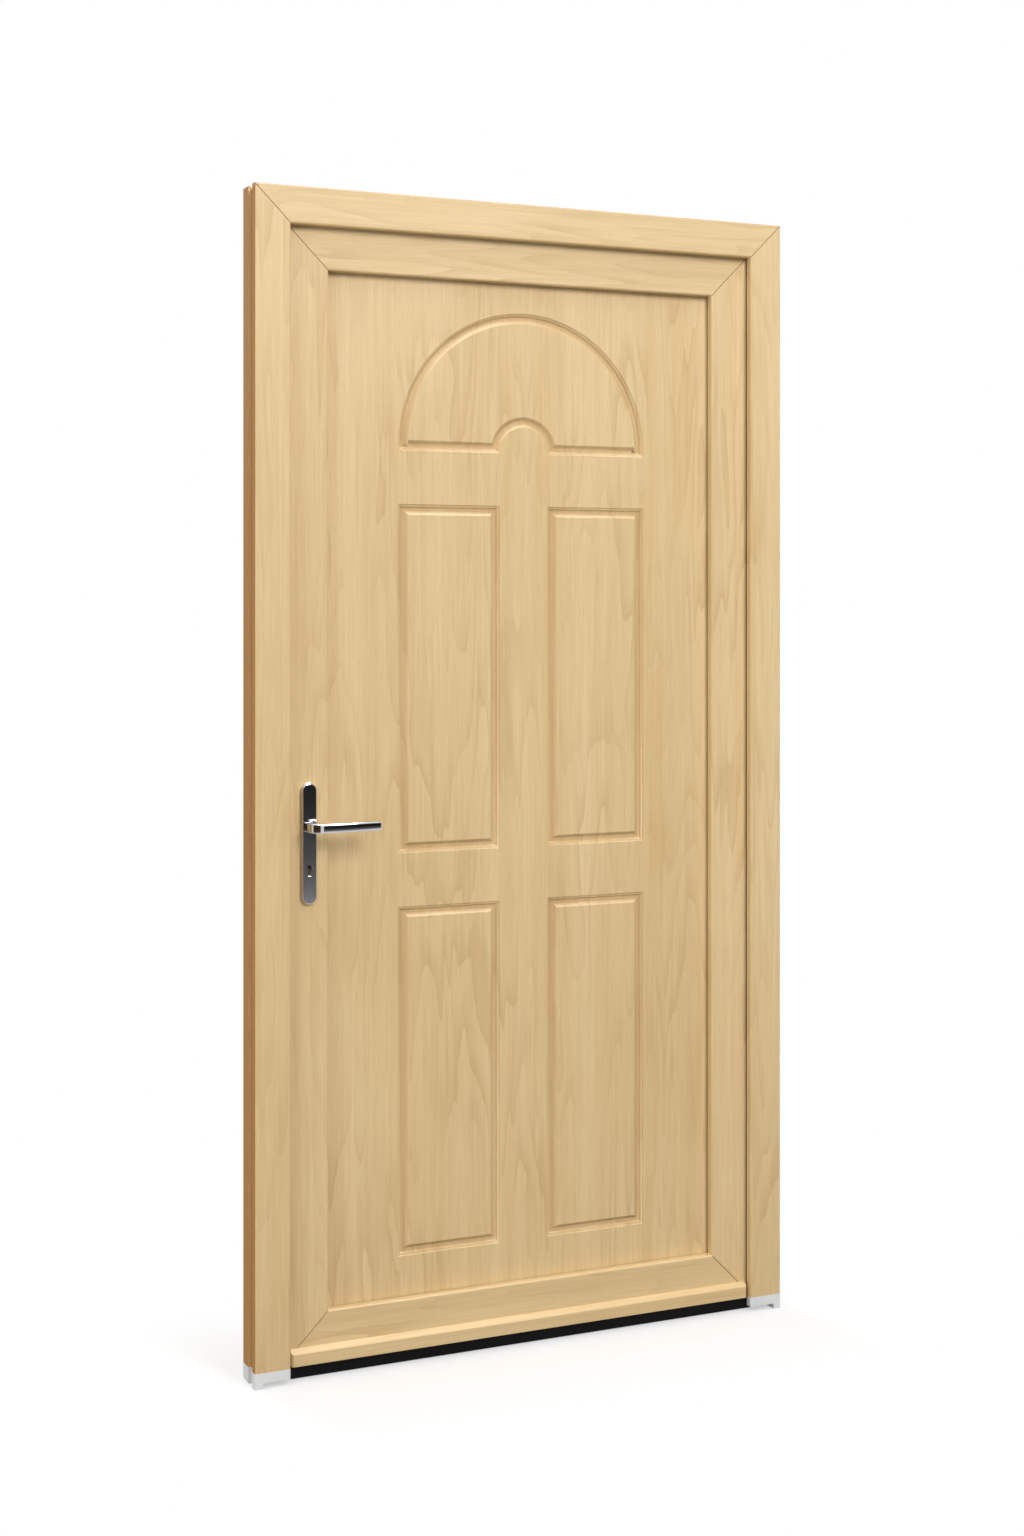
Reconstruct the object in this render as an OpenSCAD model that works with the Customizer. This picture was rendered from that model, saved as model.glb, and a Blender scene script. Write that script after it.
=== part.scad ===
// Panelled front door of wood-foiled plastic profiles, closed in its frame with a low threshold.
// +X runs along the door's width, +Y from outside to inside, +Z up. The origin lies on the floor,
// in the middle of the width and of the leaf's thickness.

/* [Frame] */
// Overall width of the frame
frame_w = 1060; // [940:1:1240]
// Overall height of the frame from the floor
frame_h = 2100; // [1960:1:2300]
// Depth of the frame profile
frame_depth = 70; // [66:1:76]
// Width of the frame profile from the wall side to the rebate floor
frame_body_w = 46; // [44:0.5:52]
// How far the stop lip reaches past the rebate floor
stop_lip_w = 20; // [17:0.5:23]
// Thickness of the stop lip
stop_lip_t = 15; // [14:0.5:16]
// Thickness of the profiles' outer walls
profile_wall = 3; // [2.4:0.1:3.4]
// Thickness of the webs between chambers
profile_web = 2; // [1.4:0.1:2.6]
// Rounding of the profiles' visible edges
edge_r = 4; // [2:0.5:5]
// Depth of the fixing groove on the wall side
wall_groove_depth = 5; // [3:0.5:6]
// Width of the fixing groove on the wall side
wall_groove_w = 23; // [18:0.5:28]
// Depth of the chambers on the frame's inside face
frame_chamber_d = 13; // [10:0.5:15]
// Thickness of the frame's steel tubes
frame_steel_t = 1.5; // [1:0.1:2.5]
// Radius of the wall fixing holes
fixing_r = 5.1; // [3:0.1:6]
// Distance of the end fixings from the floor and from the top
fixing_end = 200; // [150:1:240]

/* [Threshold] */
// Height of the end blocks from the floor
block_h = 28; // [27:0.5:34]
// Height of the foot under each end block
block_foot_h = 10; // [7:0.5:12]
// Width of the foot under each end block
block_foot_w = 15; // [10:0.5:22]
// Height of the spigot that plugs into the jamb
block_spigot_h = 25; // [10:1:40]
// Height of the threshold's underside over the floor
threshold_lift = 2.5; // [1.5:0.5:4.5]
// Height of the threshold
threshold_h = 23.5; // [21.5:0.5:24.5]
// Depth of the threshold from the frame's inside face
threshold_depth = 50; // [46:0.5:54]
// Thickness of the metal tread
tread_t = 4; // [3:0.5:6]
// Width of the threshold's front nose
nose_w = 6; // [4:0.5:8]
// Radius of the tread's screw heads
tread_screw_r = 4.5; // [3.5:0.1:6]

/* [Leaf] */
// Depth of the leaf profile
sash_depth = 70; // [66:1:74]
// Setback of the leaf's outside face from the frame's
sash_setback = 19; // [18.5:0.5:21]
// Gap between the rebate floor and the leaf's edge
hardware_gap = 12; // [11.5:0.1:13]
// Face width of the leaf profile from its edge to the panel opening
sash_face_w = 84; // [80:0.5:90]
// How far the inside lip reaches past the leaf's edge
overlap_w = 20; // [17:0.5:22]
// Thickness of the inside lip
overlap_t = 15; // [14.5:0.5:15.5]
// Width of the lip that holds the panel
panel_lip_w = 20; // [17:0.5:24]
// Thickness of the lip that holds the panel
panel_lip_t = 15; // [13:0.5:16]
// Height of the leaf's bottom edge over the threshold
leaf_clear = 4.5; // [4:0.1:7]
// Depth of the chambers along the leaf's outside face
sash_outer_chamber_d = 10; // [8:0.5:11]
// Depth of the chambers along the leaf's inside face
sash_inner_chamber_d = 9; // [7:0.5:10]
// Thickness of the leaf's steel tubes
sash_steel_t = 2; // [1:0.1:3]

/* [Panel] */
// Thickness of the panel
panel_t = 28; // [24:0.5:30]
// Gap between the panel's edge and the leaf profile
panel_edge_gap = 5; // [3:0.5:8]
// Thickness of the gaskets on the panel's faces
panel_gasket_t = 3; // [2:0.1:4]
// Distance of the moulded pattern from the sides of the panel opening
pattern_side = 139; // [125:1:155]
// Distance of the arch from the top of the panel opening
pattern_top = 54; // [45:1:75]
// Distance of the lower fields from the bottom of the panel opening
pattern_bottom = 73; // [60:1:95]
// Width of the plain strips between the moulded fields
pattern_gap = 98; // [80:1:115]
// Straight height of the arch under its half circle
arch_stilt = 10; // [4:0.5:18]
// Width of the moulded groove
groove_w = 18.4; // [15:0.1:22]
// Depth of the moulded groove
groove_d = 6; // [4:0.1:7]

/* [Drip bar] */
// Height of the drip bar
drip_h = 28.5; // [22:0.5:34]
// How far the drip bar stands out from the leaf
drip_out = 12; // [9:0.5:14]
// Gap under the drip bar, over the threshold's top
drip_clear = 1; // [0.8:0.1:3]
// Gap between the drip bar's ends and the frame
drip_end_gap = 4; // [3:0.1:8]

/* [Handle] */
// Height of the lever's axis over the floor
lever_z = 974; // [900:1:1100]
// Distance of the lever's axis from the leaf's edge
backset = 46; // [45:0.1:47]
// Distance of the key's axis under the lever's axis
key_drop = 72; // [71:0.1:75]
// Height of the handle plate
plate_h = 215; // [205:1:230]
// Width of the handle plate
plate_w = 29; // [27:0.5:32]
// Thickness of the handle plate
plate_t = 8; // [6:0.5:10]
// How far the plate's middle lies under the lever's axis
plate_drop = 30; // [27:0.5:33]
// Width of the bevel round the handle plate
plate_bevel = 2.5; // [1:0.1:3.5]
// Radius of the lever's neck
neck_r = 8.5; // [7.5:0.1:9]
// How far the lever's front stands out from the leaf
lever_out = 50; // [44:0.5:60]
// Length of the lever from its axis
lever_l = 123; // [100:1:140]
// Height of the lever's grip
grip_h = 16.5; // [13:0.1:20]
// Thickness of the lever's grip
grip_t = 9; // [7:0.1:12]
// Radius of the lever's bow
bow_r = 900; // [500:10:2000]
// Width of the square spindle
spindle_w = 8; // [7:0.1:9]
// Radius of the keyhole's round top
keyhole_r = 4.5; // [4:0.1:5]
// Height of the keyhole from the key's axis to its bottom
keyhole_h = 15; // [11:0.5:18]

/* [Lock] */
// Thickness of the lock case
case_t = 15; // [14:0.1:17]
// How far the lock case reaches behind the lever's axis
case_back_w = 13; // [12.5:0.1:14]
// Thickness of the lock case's sheet metal
case_sheet = 1.5; // [1:0.1:1.8]
// Width of the faceplate
faceplate_w = 20; // [18:0.5:22]
// Thickness of the faceplate
faceplate_t = 3; // [2:0.1:3.5]
// How far the faceplate reaches past the lock case at each end
faceplate_end_h = 35; // [28:0.5:50]
// How far the latch bolt stands out of the faceplate
latch_throw = 11; // [10:0.1:11.2]
// Height of the latch bolt's head
latch_h = 20; // [16:0.5:22]
// How far the dead bolt slides out
bolt_throw = 20; // [14:0.5:22]
// Height of the dead bolt's head
bolt_h = 22; // [18:0.5:24]
// Thickness of the keep on the frame
keep_t = 8; // [6:0.1:8.5]
// Width of the keep on the frame
keep_w = 26; // [24:0.5:30]

/* [Hinges] */
// Height of the bottom hinge's middle over the floor
hinge_low_h = 260; // [160:1:400]
// Distance of the top hinge's middle from the top of the frame
hinge_high_h = 260; // [180:1:400]
// Radius of the hinge barrels
barrel_r = 9; // [8:0.1:10]
// Height of each half of a hinge barrel
barrel_h = 45; // [35:1:55]
// Radius of the hinge pins
pin_r = 4; // [3:0.1:5]
// Distance of the hinge axis from the frame's wall side
hinge_side_w = 32; // [31:0.1:33]
// Distance of the hinge axis from the leaf's inside face
hinge_out = 12; // [11.5:0.1:14]
// Thickness of the hinge plates
hinge_plate_t = 4; // [3:0.1:5]
// Width of the hinge plate on the leaf
hinge_leaf_w = 36; // [28:0.5:42]

/* [Hidden] */
$fn = 96;
overrun = 1;

// Clearances
running = 0.05;
easy_fit = 0.3;
seal_clear = 0.3;
socket_clear = 0.05;

// Depth planes along Y
sash_out = -sash_depth / 2;
sash_in = sash_depth / 2;
frame_out = sash_out - sash_setback;
frame_in = frame_out + frame_depth;
stop_back = frame_out + stop_lip_t;
overlap_back = sash_in - overlap_t;
lip_back = sash_out + panel_lip_t;
panel_out = lip_back + panel_gasket_t;
panel_in = panel_out + panel_t;
bead_out = panel_in + panel_gasket_t;
depth_reach = frame_depth + sash_depth;

// Distances from the frame's wall side, taken inwards
frame_face_w = frame_body_w + stop_lip_w;
sash_edge = frame_body_w + hardware_gap;
overlap_edge = sash_edge - overlap_w;
aperture_edge = sash_edge + sash_face_w;
bead_seat = aperture_edge - panel_lip_w;
panel_edge = bead_seat + panel_edge_gap;

// Heights
jamb_foot = block_h;
threshold_top = threshold_lift + threshold_h;
sash_foot = threshold_top + leaf_clear;
foot_datum = sash_foot - sash_edge;
key_z = lever_z - key_drop;

// Places in the door for a distance from the frame's wall side
function at(u) = u - frame_w / 2;
function top(u) = frame_h - u;
function foot(u) = foot_datum + u;

// Outlines of mitred members, drawn in X and Z
function upright_outline(u0, u1) =
    [[at(u0), foot(u0)], [at(u1), foot(u1)], [at(u1), top(u1)], [at(u0), top(u0)]];
function lintel_outline(u0, u1) =
    [[at(u0), top(u0)], [at(u1), top(u1)], [-at(u1), top(u1)], [-at(u0), top(u0)]];
function sill_outline(u0, u1) =
    [[at(u0), foot(u0)], [at(u1), foot(u1)], [-at(u1), foot(u1)], [-at(u0), foot(u0)]];

// Frame section
wall_groove_out = stop_back;
wall_groove_in = wall_groove_out + wall_groove_w;
back_chamber_out = frame_in - profile_wall - frame_chamber_d;
frame_steel_u0 = wall_groove_depth + profile_wall;
frame_steel_u1 = frame_body_w - profile_wall;
frame_steel_y0 = stop_back - profile_wall + profile_web;
frame_steel_y1 = back_chamber_out - profile_web;
fixing_y = wall_groove_out + wall_groove_w / 2;
fixing_count = 4;
outer_edge_r = edge_r / 2;
weld_w = 1.4;
weld_d = 0.7;

// Gaskets
gasket_stem_w = 2.6;
gasket_slot_w = 3;
gasket_slot_d = 3;
gasket_w = 6.5;
gasket_inset = 1;

// Leaf section
groove_out = -faceplate_w / 2 - easy_fit;
groove_in = faceplate_w / 2 + easy_fit;
sash_steel_u0 = sash_edge + faceplate_t + profile_wall;
sash_steel_u1 = bead_seat - profile_wall;
sash_steel_y0 = sash_out + profile_wall + sash_outer_chamber_d + profile_web;
sash_inner_chamber_y = sash_in - profile_wall - sash_inner_chamber_d;
sash_steel_y1 = sash_inner_chamber_y - profile_web;
lip_solid = 2 * gasket_inset + gasket_w + profile_wall;
bead_slope_shares = [0.4, 0.35];

// Panel pattern
aperture_half = -at(aperture_edge);
arch_r = aperture_half - pattern_side;
arch_top = top(aperture_edge) - pattern_top;
arch_z = arch_top - arch_r;
arch_foot = arch_z - arch_stilt;
field_top = arch_foot - pattern_gap;
field_foot = foot(aperture_edge) + pattern_bottom;
field_h = (field_top - field_foot - pattern_gap) / 2;
field_inner = pattern_gap / 2;
hub_r = field_inner;
// Moulded groove's section, as shares of its width and depth from its outer edge to the raised field
groove_shares = [[0, 0.25], [0.22, 0.37], [0.27, 0.6], [0.38, 0.9], [0.49, 1], [0.68, 1], [1, 0.17]];
mitre_lap = 0.3;
mitre_share = 0.2;

// Drip bar
drip_foot = threshold_top + drip_clear;
drip_top = drip_foot + drip_h;
drip_front = sash_out - drip_out;
drip_half = -at(frame_face_w) - drip_end_gap;
drip_slope_shares = [0.27, 0.2];
drip_nose_share = 0.14;
drip_throat = 2;
drip_chamfer = 3;

// Threshold
threshold_front = frame_in - threshold_depth;
threshold_half = -at(frame_body_w);
nose_chamfer = 2;
tread_groove_w = 2.5;
tread_groove_d = 0.8;
tread_groove_count = 3;
tread_screw_shares = [-0.8, -0.28, 0.28, 0.8];
screw_shank_share = 0.5;
bottom_seal_w = 8;
bottom_seal_half = -at(frame_face_w) - drip_end_gap;
spigot_fit = 0.3;

// Handle
lever_x = at(sash_edge + backset);
plate_z = lever_z - plate_drop;
plate_end_r = plate_w / 2;
collar_w = 3;
collar_r = neck_r + collar_w;
collar_h = 2.5;
neck_hole_r = neck_r + running;
bend_r = 14;
grip_out = lever_out - grip_t / 2;
grip_edge_r = 3.8;
grip_tip_r = 4;
bow_angle = (lever_l - bend_r + grip_h) / bow_r * 180 / PI;
spindle_half = sash_depth / 2 + lever_out - grip_t - bend_r;
keyhole_slot_shares = [0.56, 0.46];
post_r = 5;
post_l = 24;
handle_screw_r = 2.5;
handle_screw_head_r = 4.4;
handle_screw_head_h = 2.6;
handle_screw_span = plate_h - plate_w - plate_end_r / 2;
handle_screw_heights = [plate_z - handle_screw_span / 2, plate_z + handle_screw_span / 2];
screw_slot_w = 1.2;
screw_slot_d = 1;

// Lock
case_x = at(sash_edge + faceplate_t);
case_w = backset - faceplate_t + case_back_w;
case_post_gap = 1;
case_z0 = handle_screw_heights[0] + post_r + case_post_gap;
case_z1 = handle_screw_heights[1] - post_r - case_post_gap;
bolt_t = case_t - 2 * case_sheet - 2 * easy_fit;
hub_bearing_r = 8;
follower_rim = 2;
follower_r = hub_bearing_r + follower_rim;
arm_r = 19;
arm_w = 5;
arm_tilt = 35;
latch_rise = 14;
latch_z0 = lever_z + latch_rise;
latch_body_l = 18;
latch_tail_h = 8;
latch_tail_l = 24;
latch_lug_w = 3;
latch_lug_drop = 7.4;
bolt_rise = 10;
bolt_z0 = key_z + bolt_rise;
bolt_head_l = 42;
bolt_tail_l = 13;
bolt_tail_trim = 4;
talon_w = 2;
talon_drop = 5;
bolt_chamfer = 1;
faceplate_z = (case_z0 + case_z1) / 2;
faceplate_h = case_z1 - case_z0 + 2 * faceplate_end_h;
faceplate_screw_r = 3.6;
faceplate_screw_span = faceplate_h - faceplate_w - faceplate_screw_r;
faceplate_screw_heights = [faceplate_z - faceplate_screw_span / 2, faceplate_z + faceplate_screw_span / 2];
small_screw_l = 12;
countersink_h = 2.4;
keep_margin = 26;
keep_z0 = bolt_z0 - keep_margin;
keep_z1 = latch_z0 + latch_h + keep_margin;
keep_window = 1;
keep_screw_heights = [keep_z0 + keep_margin / 2, keep_z1 - keep_margin / 2];
keep_screw_l = 18;

// Hinges
hinge_top_z = frame_h - hinge_high_h;
bottom_hinge = 0;
middle_hinge = 1;
top_hinge = 2;
hinge_heights = [hinge_low_h, (hinge_low_h + hinge_top_z) / 2, hinge_top_z];
hinge_x = -at(hinge_side_w);
hinge_y = sash_in + hinge_out;
washer_t = 1.2;
barrel_gap = 0.3;
hinge_plate_margin = 8;
hinge_web_w = 12;
hinge_web_gap = 2;
hinge_web_u1 = overlap_edge - hinge_web_gap;
hinge_web_u0 = hinge_web_u1 - hinge_web_w;
frame_plate_u0 = 4;
leaf_plate_u0 = hinge_side_w + barrel_r + barrel_gap;
leaf_plate_u1 = leaf_plate_u0 + hinge_leaf_w;
pin_inset = 4;
hinge_screw_r = 3.8;
hinge_screw_l = 16;
frame_screw_shares = [[0, -0.4], [0, 0], [0, 0.4]];
leaf_screw_shares = [[-0.28, -0.4], [0.28, -0.4], [-0.28, 0.4], [0.28, 0.4]];

// Packers
packer_l = 100;
packer_end = 180;

// Colours
wood = [0.86, 0.76, 0.58];
steel = [0.66, 0.67, 0.68];
dark_chrome = [0.22, 0.22, 0.24];
rubber = [0.08, 0.08, 0.08];
white_plastic = [0.88, 0.88, 0.87];
black_plastic = [0.04, 0.04, 0.05];
metal = [0.75, 0.76, 0.77];
hinge_white = [0.9, 0.89, 0.86];

// Shared shapes

// Stands a section up along Z; its first axis runs inwards from the wall side on the lock side.
module upright(z0, z1) {
    translate([at(0), 0, z0])
        linear_extrude(z1 - z0)
            children();
}

// Lays a section along X at the head; its first axis runs downwards from the top.
module lintel() {
    translate([at(0), 0, top(0)])
        rotate([0, 90, 0])
            linear_extrude(frame_w)
                children();
}

// Lays a section along X at the foot of the leaf; its first axis runs upwards.
module sill() {
    translate([-at(0), 0, foot(0)])
        rotate([0, -90, 0])
            linear_extrude(frame_w)
                children();
}

// Extrudes an outline drawn in X and Z from depth y0 to y1.
module slab(y0, y1) {
    translate([0, y1, 0])
        rotate([90, 0, 0])
            linear_extrude(y1 - y0)
                children();
}

// Keeps what lies inside an outline drawn in X and Z.
module trimmed(outline) {
    intersection() {
        children();
        slab(-depth_reach, depth_reach)
            polygon(outline);
    }
}

// Copies the lock side onto the hinge side.
module hinge_side() {
    mirror([1, 0, 0])
        children();
}

// Copies the outside onto the inside.
module inside() {
    mirror([0, 1, 0])
        children();
}

// Waste left outside a corner of radius r at (x, y); sx and sy say which way the corner points.
module round_off(x, y, sx, sy, r) {
    translate([x - sx * r, y - sy * r])
        difference() {
            translate([sx > 0 ? 0 : -r - overrun, sy > 0 ? 0 : -r - overrun])
                square(r + overrun);
            circle(r);
        }
}

// A row of equal chambers with webs between them.
module chambers(u0, u1, y0, y1, count) {
    step = (u1 - u0 + profile_web) / count;
    for (i = [0:count - 1])
        translate([u0 + i * step, y0])
            square([step - profile_web, y1 - y0]);
}

// Fine weld line left on a face where two members meet at 45 degrees, from distance u0 to u1.
module weld_line(u0, u1, y, z, turn) {
    translate([at(u0), y, z])
        rotate([0, turn, 0])
            translate([0, -weld_d, -weld_w / 2])
                cube([norm([u1 - u0, u1 - u0]), 2 * weld_d, weld_w]);
}

module top_weld(u0, u1, y) {
    weld_line(u0, u1, y, top(u0), 45);
}

module foot_weld(u0, u1, y) {
    weld_line(u0, u1, y, foot(u0), -45);
}

// Square steel tube section.
module tube_section(u0, u1, y0, y1, t) {
    difference() {
        translate([u0 + easy_fit, y0 + easy_fit])
            square([u1 - u0 - 2 * easy_fit, y1 - y0 - 2 * easy_fit]);
        translate([u0 + easy_fit + t, y0 + easy_fit + t])
            square([u1 - u0 - 2 * easy_fit - 2 * t, y1 - y0 - 2 * easy_fit - 2 * t]);
    }
}

// Countersunk screw with a slot, its head's face at the origin and its shank along -Z.
module countersunk(head_r, l) {
    difference() {
        union() {
            translate([0, 0, -countersink_h])
                cylinder(r1 = head_r * screw_shank_share, r2 = head_r, h = countersink_h);
            translate([0, 0, -l])
                cylinder(r = head_r * screw_shank_share, h = l);
        }
        translate([-head_r, -screw_slot_w / 2, -screw_slot_d])
            cube([2 * head_r, screw_slot_w, screw_slot_d + overrun]);
    }
}

// Hole that a countersunk screw fills.
module countersunk_hole(head_r, l) {
    translate([0, 0, -countersink_h])
        cylinder(r1 = head_r * screw_shank_share, r2 = head_r, h = countersink_h);
    translate([0, 0, -l])
        cylinder(r = head_r * screw_shank_share, h = l + overrun);
}

// Frame

module frame_outline() {
    difference() {
        polygon([
            [0, frame_out], [frame_face_w, frame_out], [frame_face_w, stop_back],
            [frame_body_w, stop_back], [frame_body_w, frame_in], [0, frame_in],
            [0, wall_groove_in], [wall_groove_depth, wall_groove_in],
            [wall_groove_depth, wall_groove_out], [0, wall_groove_out]
        ]);
        round_off(frame_face_w, frame_out, 1, -1, edge_r);
        round_off(0, frame_out, -1, -1, outer_edge_r);
        round_off(0, frame_in, -1, 1, outer_edge_r);
        round_off(frame_body_w, frame_in, 1, 1, outer_edge_r);
    }
}

module frame_section() {
    slot_u = frame_face_w - gasket_inset - gasket_w / 2;
    difference() {
        frame_outline();
        chambers(profile_wall, slot_u - gasket_slot_w / 2 - profile_wall,
            frame_out + profile_wall, stop_back - profile_wall, 2);
        translate([frame_steel_u0, frame_steel_y0])
            square([frame_steel_u1 - frame_steel_u0, frame_steel_y1 - frame_steel_y0]);
        chambers(profile_wall, frame_body_w - profile_wall, back_chamber_out, frame_in - profile_wall, 2);
        translate([slot_u - gasket_slot_w / 2, stop_back - gasket_slot_d])
            square([gasket_slot_w, gasket_slot_d + overrun]);
    }
}

// Holes for the wall fixings through one jamb.
module fixing_holes() {
    step = (frame_h - 2 * fixing_end) / (fixing_count - 1);
    for (i = [0:fixing_count - 1])
        translate([at(0) - overrun, fixing_y, fixing_end + i * step])
            rotate([0, 90, 0])
                cylinder(r = fixing_r, h = frame_face_w + 2 * overrun);
}

module jamb() {
    difference() {
        trimmed([
            [at(0), jamb_foot], [at(frame_face_w), jamb_foot],
            [at(frame_face_w), top(frame_face_w)], [at(0), top(0)]
        ])
            upright(jamb_foot, frame_h)
                frame_section();
        fixing_holes();
        top_weld(0, frame_face_w, frame_out);
        top_weld(0, frame_body_w, frame_in);
    }
}

// Pockets behind the keep for the dead bolt.
module bolt_pocket() {
    depth = bolt_throw - hardware_gap + 2 * keep_window;
    translate([at(frame_body_w - depth), -bolt_t / 2 - keep_window, bolt_z0 - keep_window])
        cube([depth + overrun, bolt_t + 2 * keep_window, bolt_h + 2 * keep_window]);
}

module keep_screw_places() {
    for (z = keep_screw_heights)
        translate([at(frame_body_w) + keep_t, 0, z])
            rotate([0, 90, 0])
                children();
}

module frame_lock_jamb() {
    color(wood)
        difference() {
            jamb();
            bolt_pocket();
            keep_screw_places()
                countersunk_hole(faceplate_screw_r, keep_screw_l);
        }
}

module frame_hinge_jamb() {
    color(wood)
        difference() {
            hinge_side()
                jamb();
            frame_hinge_screw_places()
                countersunk_hole(hinge_screw_r, hinge_screw_l);
        }
}

module frame_head() {
    color(wood)
        difference() {
            trimmed(lintel_outline(0, frame_face_w))
                lintel()
                    frame_section();
            top_weld(0, frame_face_w, frame_out);
            top_weld(0, frame_body_w, frame_in);
            hinge_side() {
                top_weld(0, frame_face_w, frame_out);
                top_weld(0, frame_body_w, frame_in);
            }
        }
}

module frame_tube_section() {
    tube_section(frame_steel_u0, frame_steel_u1, frame_steel_y0, frame_steel_y1, frame_steel_t);
}

module jamb_steel() {
    difference() {
        upright(jamb_foot + frame_body_w, top(frame_body_w))
            frame_tube_section();
        fixing_holes();
    }
}

module lock_jamb_steel() {
    color(steel)
        difference() {
            jamb_steel();
            bolt_pocket();
            keep_screw_places()
                countersunk_hole(faceplate_screw_r, keep_screw_l);
        }
}

module hinge_jamb_steel() {
    color(steel)
        hinge_side()
            jamb_steel();
}

module head_steel() {
    color(steel)
        trimmed([
            [at(frame_body_w), top(0)], [-at(frame_body_w), top(0)],
            [-at(frame_body_w), top(frame_body_w)], [at(frame_body_w), top(frame_body_w)]
        ])
            lintel()
                frame_tube_section();
}

// Ring between two distances from the wall side, from depth y0 to y1; it is open below where the
// inside's foot lies lower than the outside's.
module ring(u0, u1, y0, y1, outer_foot, inner_foot) {
    slab(y0, y1)
        difference() {
            translate([at(u0), outer_foot])
                square([-2 * at(u0), top(u0) - outer_foot]);
            translate([at(u1), inner_foot])
                square([-2 * at(u1), top(u1) - inner_foot]);
        }
}

// Three-sided seal on a seat at depth y, its stem in the seat's slot; sy says which way it stands out.
module lip_seal(u0, y, sy, reach, outer_foot) {
    stem_u = u0 + (gasket_w - gasket_stem_w) / 2;
    stem = gasket_slot_d - easy_fit;
    ring(u0, u0 + gasket_w, min(y, y + sy * reach), max(y, y + sy * reach),
        outer_foot, outer_foot - overrun);
    ring(stem_u, stem_u + gasket_stem_w, min(y, y - sy * stem), max(y, y - sy * stem),
        outer_foot, outer_foot - overrun);
}

module frame_gasket() {
    color(rubber)
        lip_seal(frame_face_w - gasket_inset - gasket_w, stop_back, 1,
            sash_out - stop_back - seal_clear, jamb_foot);
}

// Threshold

module end_block() {
    upright(block_foot_h, block_h)
        frame_outline();
    upright(0, block_foot_h)
        intersection() {
            frame_outline();
            translate([0, frame_out])
                square([block_foot_w, frame_depth]);
        }
    upright(block_h, block_h + block_spigot_h)
        translate([profile_wall + spigot_fit, back_chamber_out + spigot_fit])
            square([(frame_body_w - profile_wall) / 2 - profile_wall - 2 * spigot_fit,
                frame_chamber_d - 2 * spigot_fit]);
}

module lock_end_block() {
    color(white_plastic)
        end_block();
}

module hinge_end_block() {
    color(white_plastic)
        hinge_side()
            end_block();
}

// Extrudes a section drawn in Y and Z along X between the end blocks.
module across(half) {
    translate([-half, 0, 0])
        rotate([90, 0, 90])
            linear_extrude(2 * half)
                children();
}

module tread_screw_places() {
    for (share = tread_screw_shares)
        translate([share * threshold_half, (threshold_front + nose_w + frame_in) / 2, threshold_top])
            children();
}

module threshold_base() {
    tread_foot = threshold_top - tread_t;
    chamber_d = (threshold_depth - 3 * profile_wall) / 2;
    chamber_h = threshold_h - tread_t - 2 * profile_wall;
    color(black_plastic)
        difference() {
            across(threshold_half)
                difference() {
                    polygon([
                        [threshold_front, threshold_lift], [frame_in, threshold_lift],
                        [frame_in, tread_foot], [threshold_front + nose_w, tread_foot],
                        [threshold_front + nose_w, threshold_top],
                        [threshold_front + nose_chamfer, threshold_top],
                        [threshold_front, threshold_top - nose_chamfer]
                    ]);
                    for (i = [0, 1])
                        translate([threshold_front + profile_wall + i * (chamber_d + profile_wall),
                            threshold_lift + profile_wall])
                            square([chamber_d, chamber_h]);
                }
            tread_screw_places()
                countersunk_hole(tread_screw_r, small_screw_l);
        }
}

module threshold_tread() {
    tread_front = threshold_front + nose_w;
    step = (frame_in - tread_front) / (tread_groove_count + 1);
    color(metal)
        difference() {
            across(threshold_half)
                difference() {
                    translate([tread_front, threshold_top - tread_t])
                        square([frame_in - tread_front, tread_t]);
                    round_off(frame_in, threshold_top, 1, 1, tread_t / 2);
                    for (i = [1:tread_groove_count])
                        translate([tread_front + i * step, threshold_top])
                            square([tread_groove_w, 2 * tread_groove_d], center = true);
                }
            tread_screw_places()
                countersunk_hole(tread_screw_r, small_screw_l);
        }
}

module tread_screws() {
    color(metal)
        tread_screw_places()
            countersunk(tread_screw_r, small_screw_l);
}

// Keep on the lock jamb

module keep_window_cut(z0, h) {
    translate([at(frame_body_w) - overrun, -bolt_t / 2 - keep_window, z0 - keep_window])
        cube([keep_t + 2 * overrun, bolt_t + 2 * keep_window, h + 2 * keep_window]);
}

module keep_plate() {
    color(metal)
        difference() {
            translate([at(frame_body_w), 0, 0])
                rotate([90, 0, 90])
                    linear_extrude(keep_t)
                        difference() {
                            translate([-keep_w / 2, keep_z0])
                                square([keep_w, keep_z1 - keep_z0]);
                            for (sy = [-1, 1], sz = [-1, 1])
                                round_off(sy * keep_w / 2, sz > 0 ? keep_z1 : keep_z0, sy, sz, edge_r);
                        }
            keep_window_cut(latch_z0, latch_h);
            keep_window_cut(bolt_z0, bolt_h);
            keep_screw_places()
                countersunk_hole(faceplate_screw_r, keep_screw_l);
        }
}

module keep_screws() {
    color(metal)
        keep_screw_places()
            countersunk(faceplate_screw_r, keep_screw_l);
}

// Leaf

module sash_outline(outer_edge) {
    difference() {
        polygon([
            [sash_edge, sash_out], [aperture_edge, sash_out], [aperture_edge, lip_back],
            [bead_seat, lip_back], [bead_seat, sash_in], [outer_edge, sash_in],
            [outer_edge, overlap_back], [sash_edge, overlap_back],
            [sash_edge, groove_in], [sash_edge + faceplate_t, groove_in],
            [sash_edge + faceplate_t, groove_out], [sash_edge, groove_out]
        ]);
        round_off(aperture_edge, sash_out, 1, -1, edge_r);
        round_off(outer_edge, sash_in, -1, 1, edge_r);
    }
}

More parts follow.
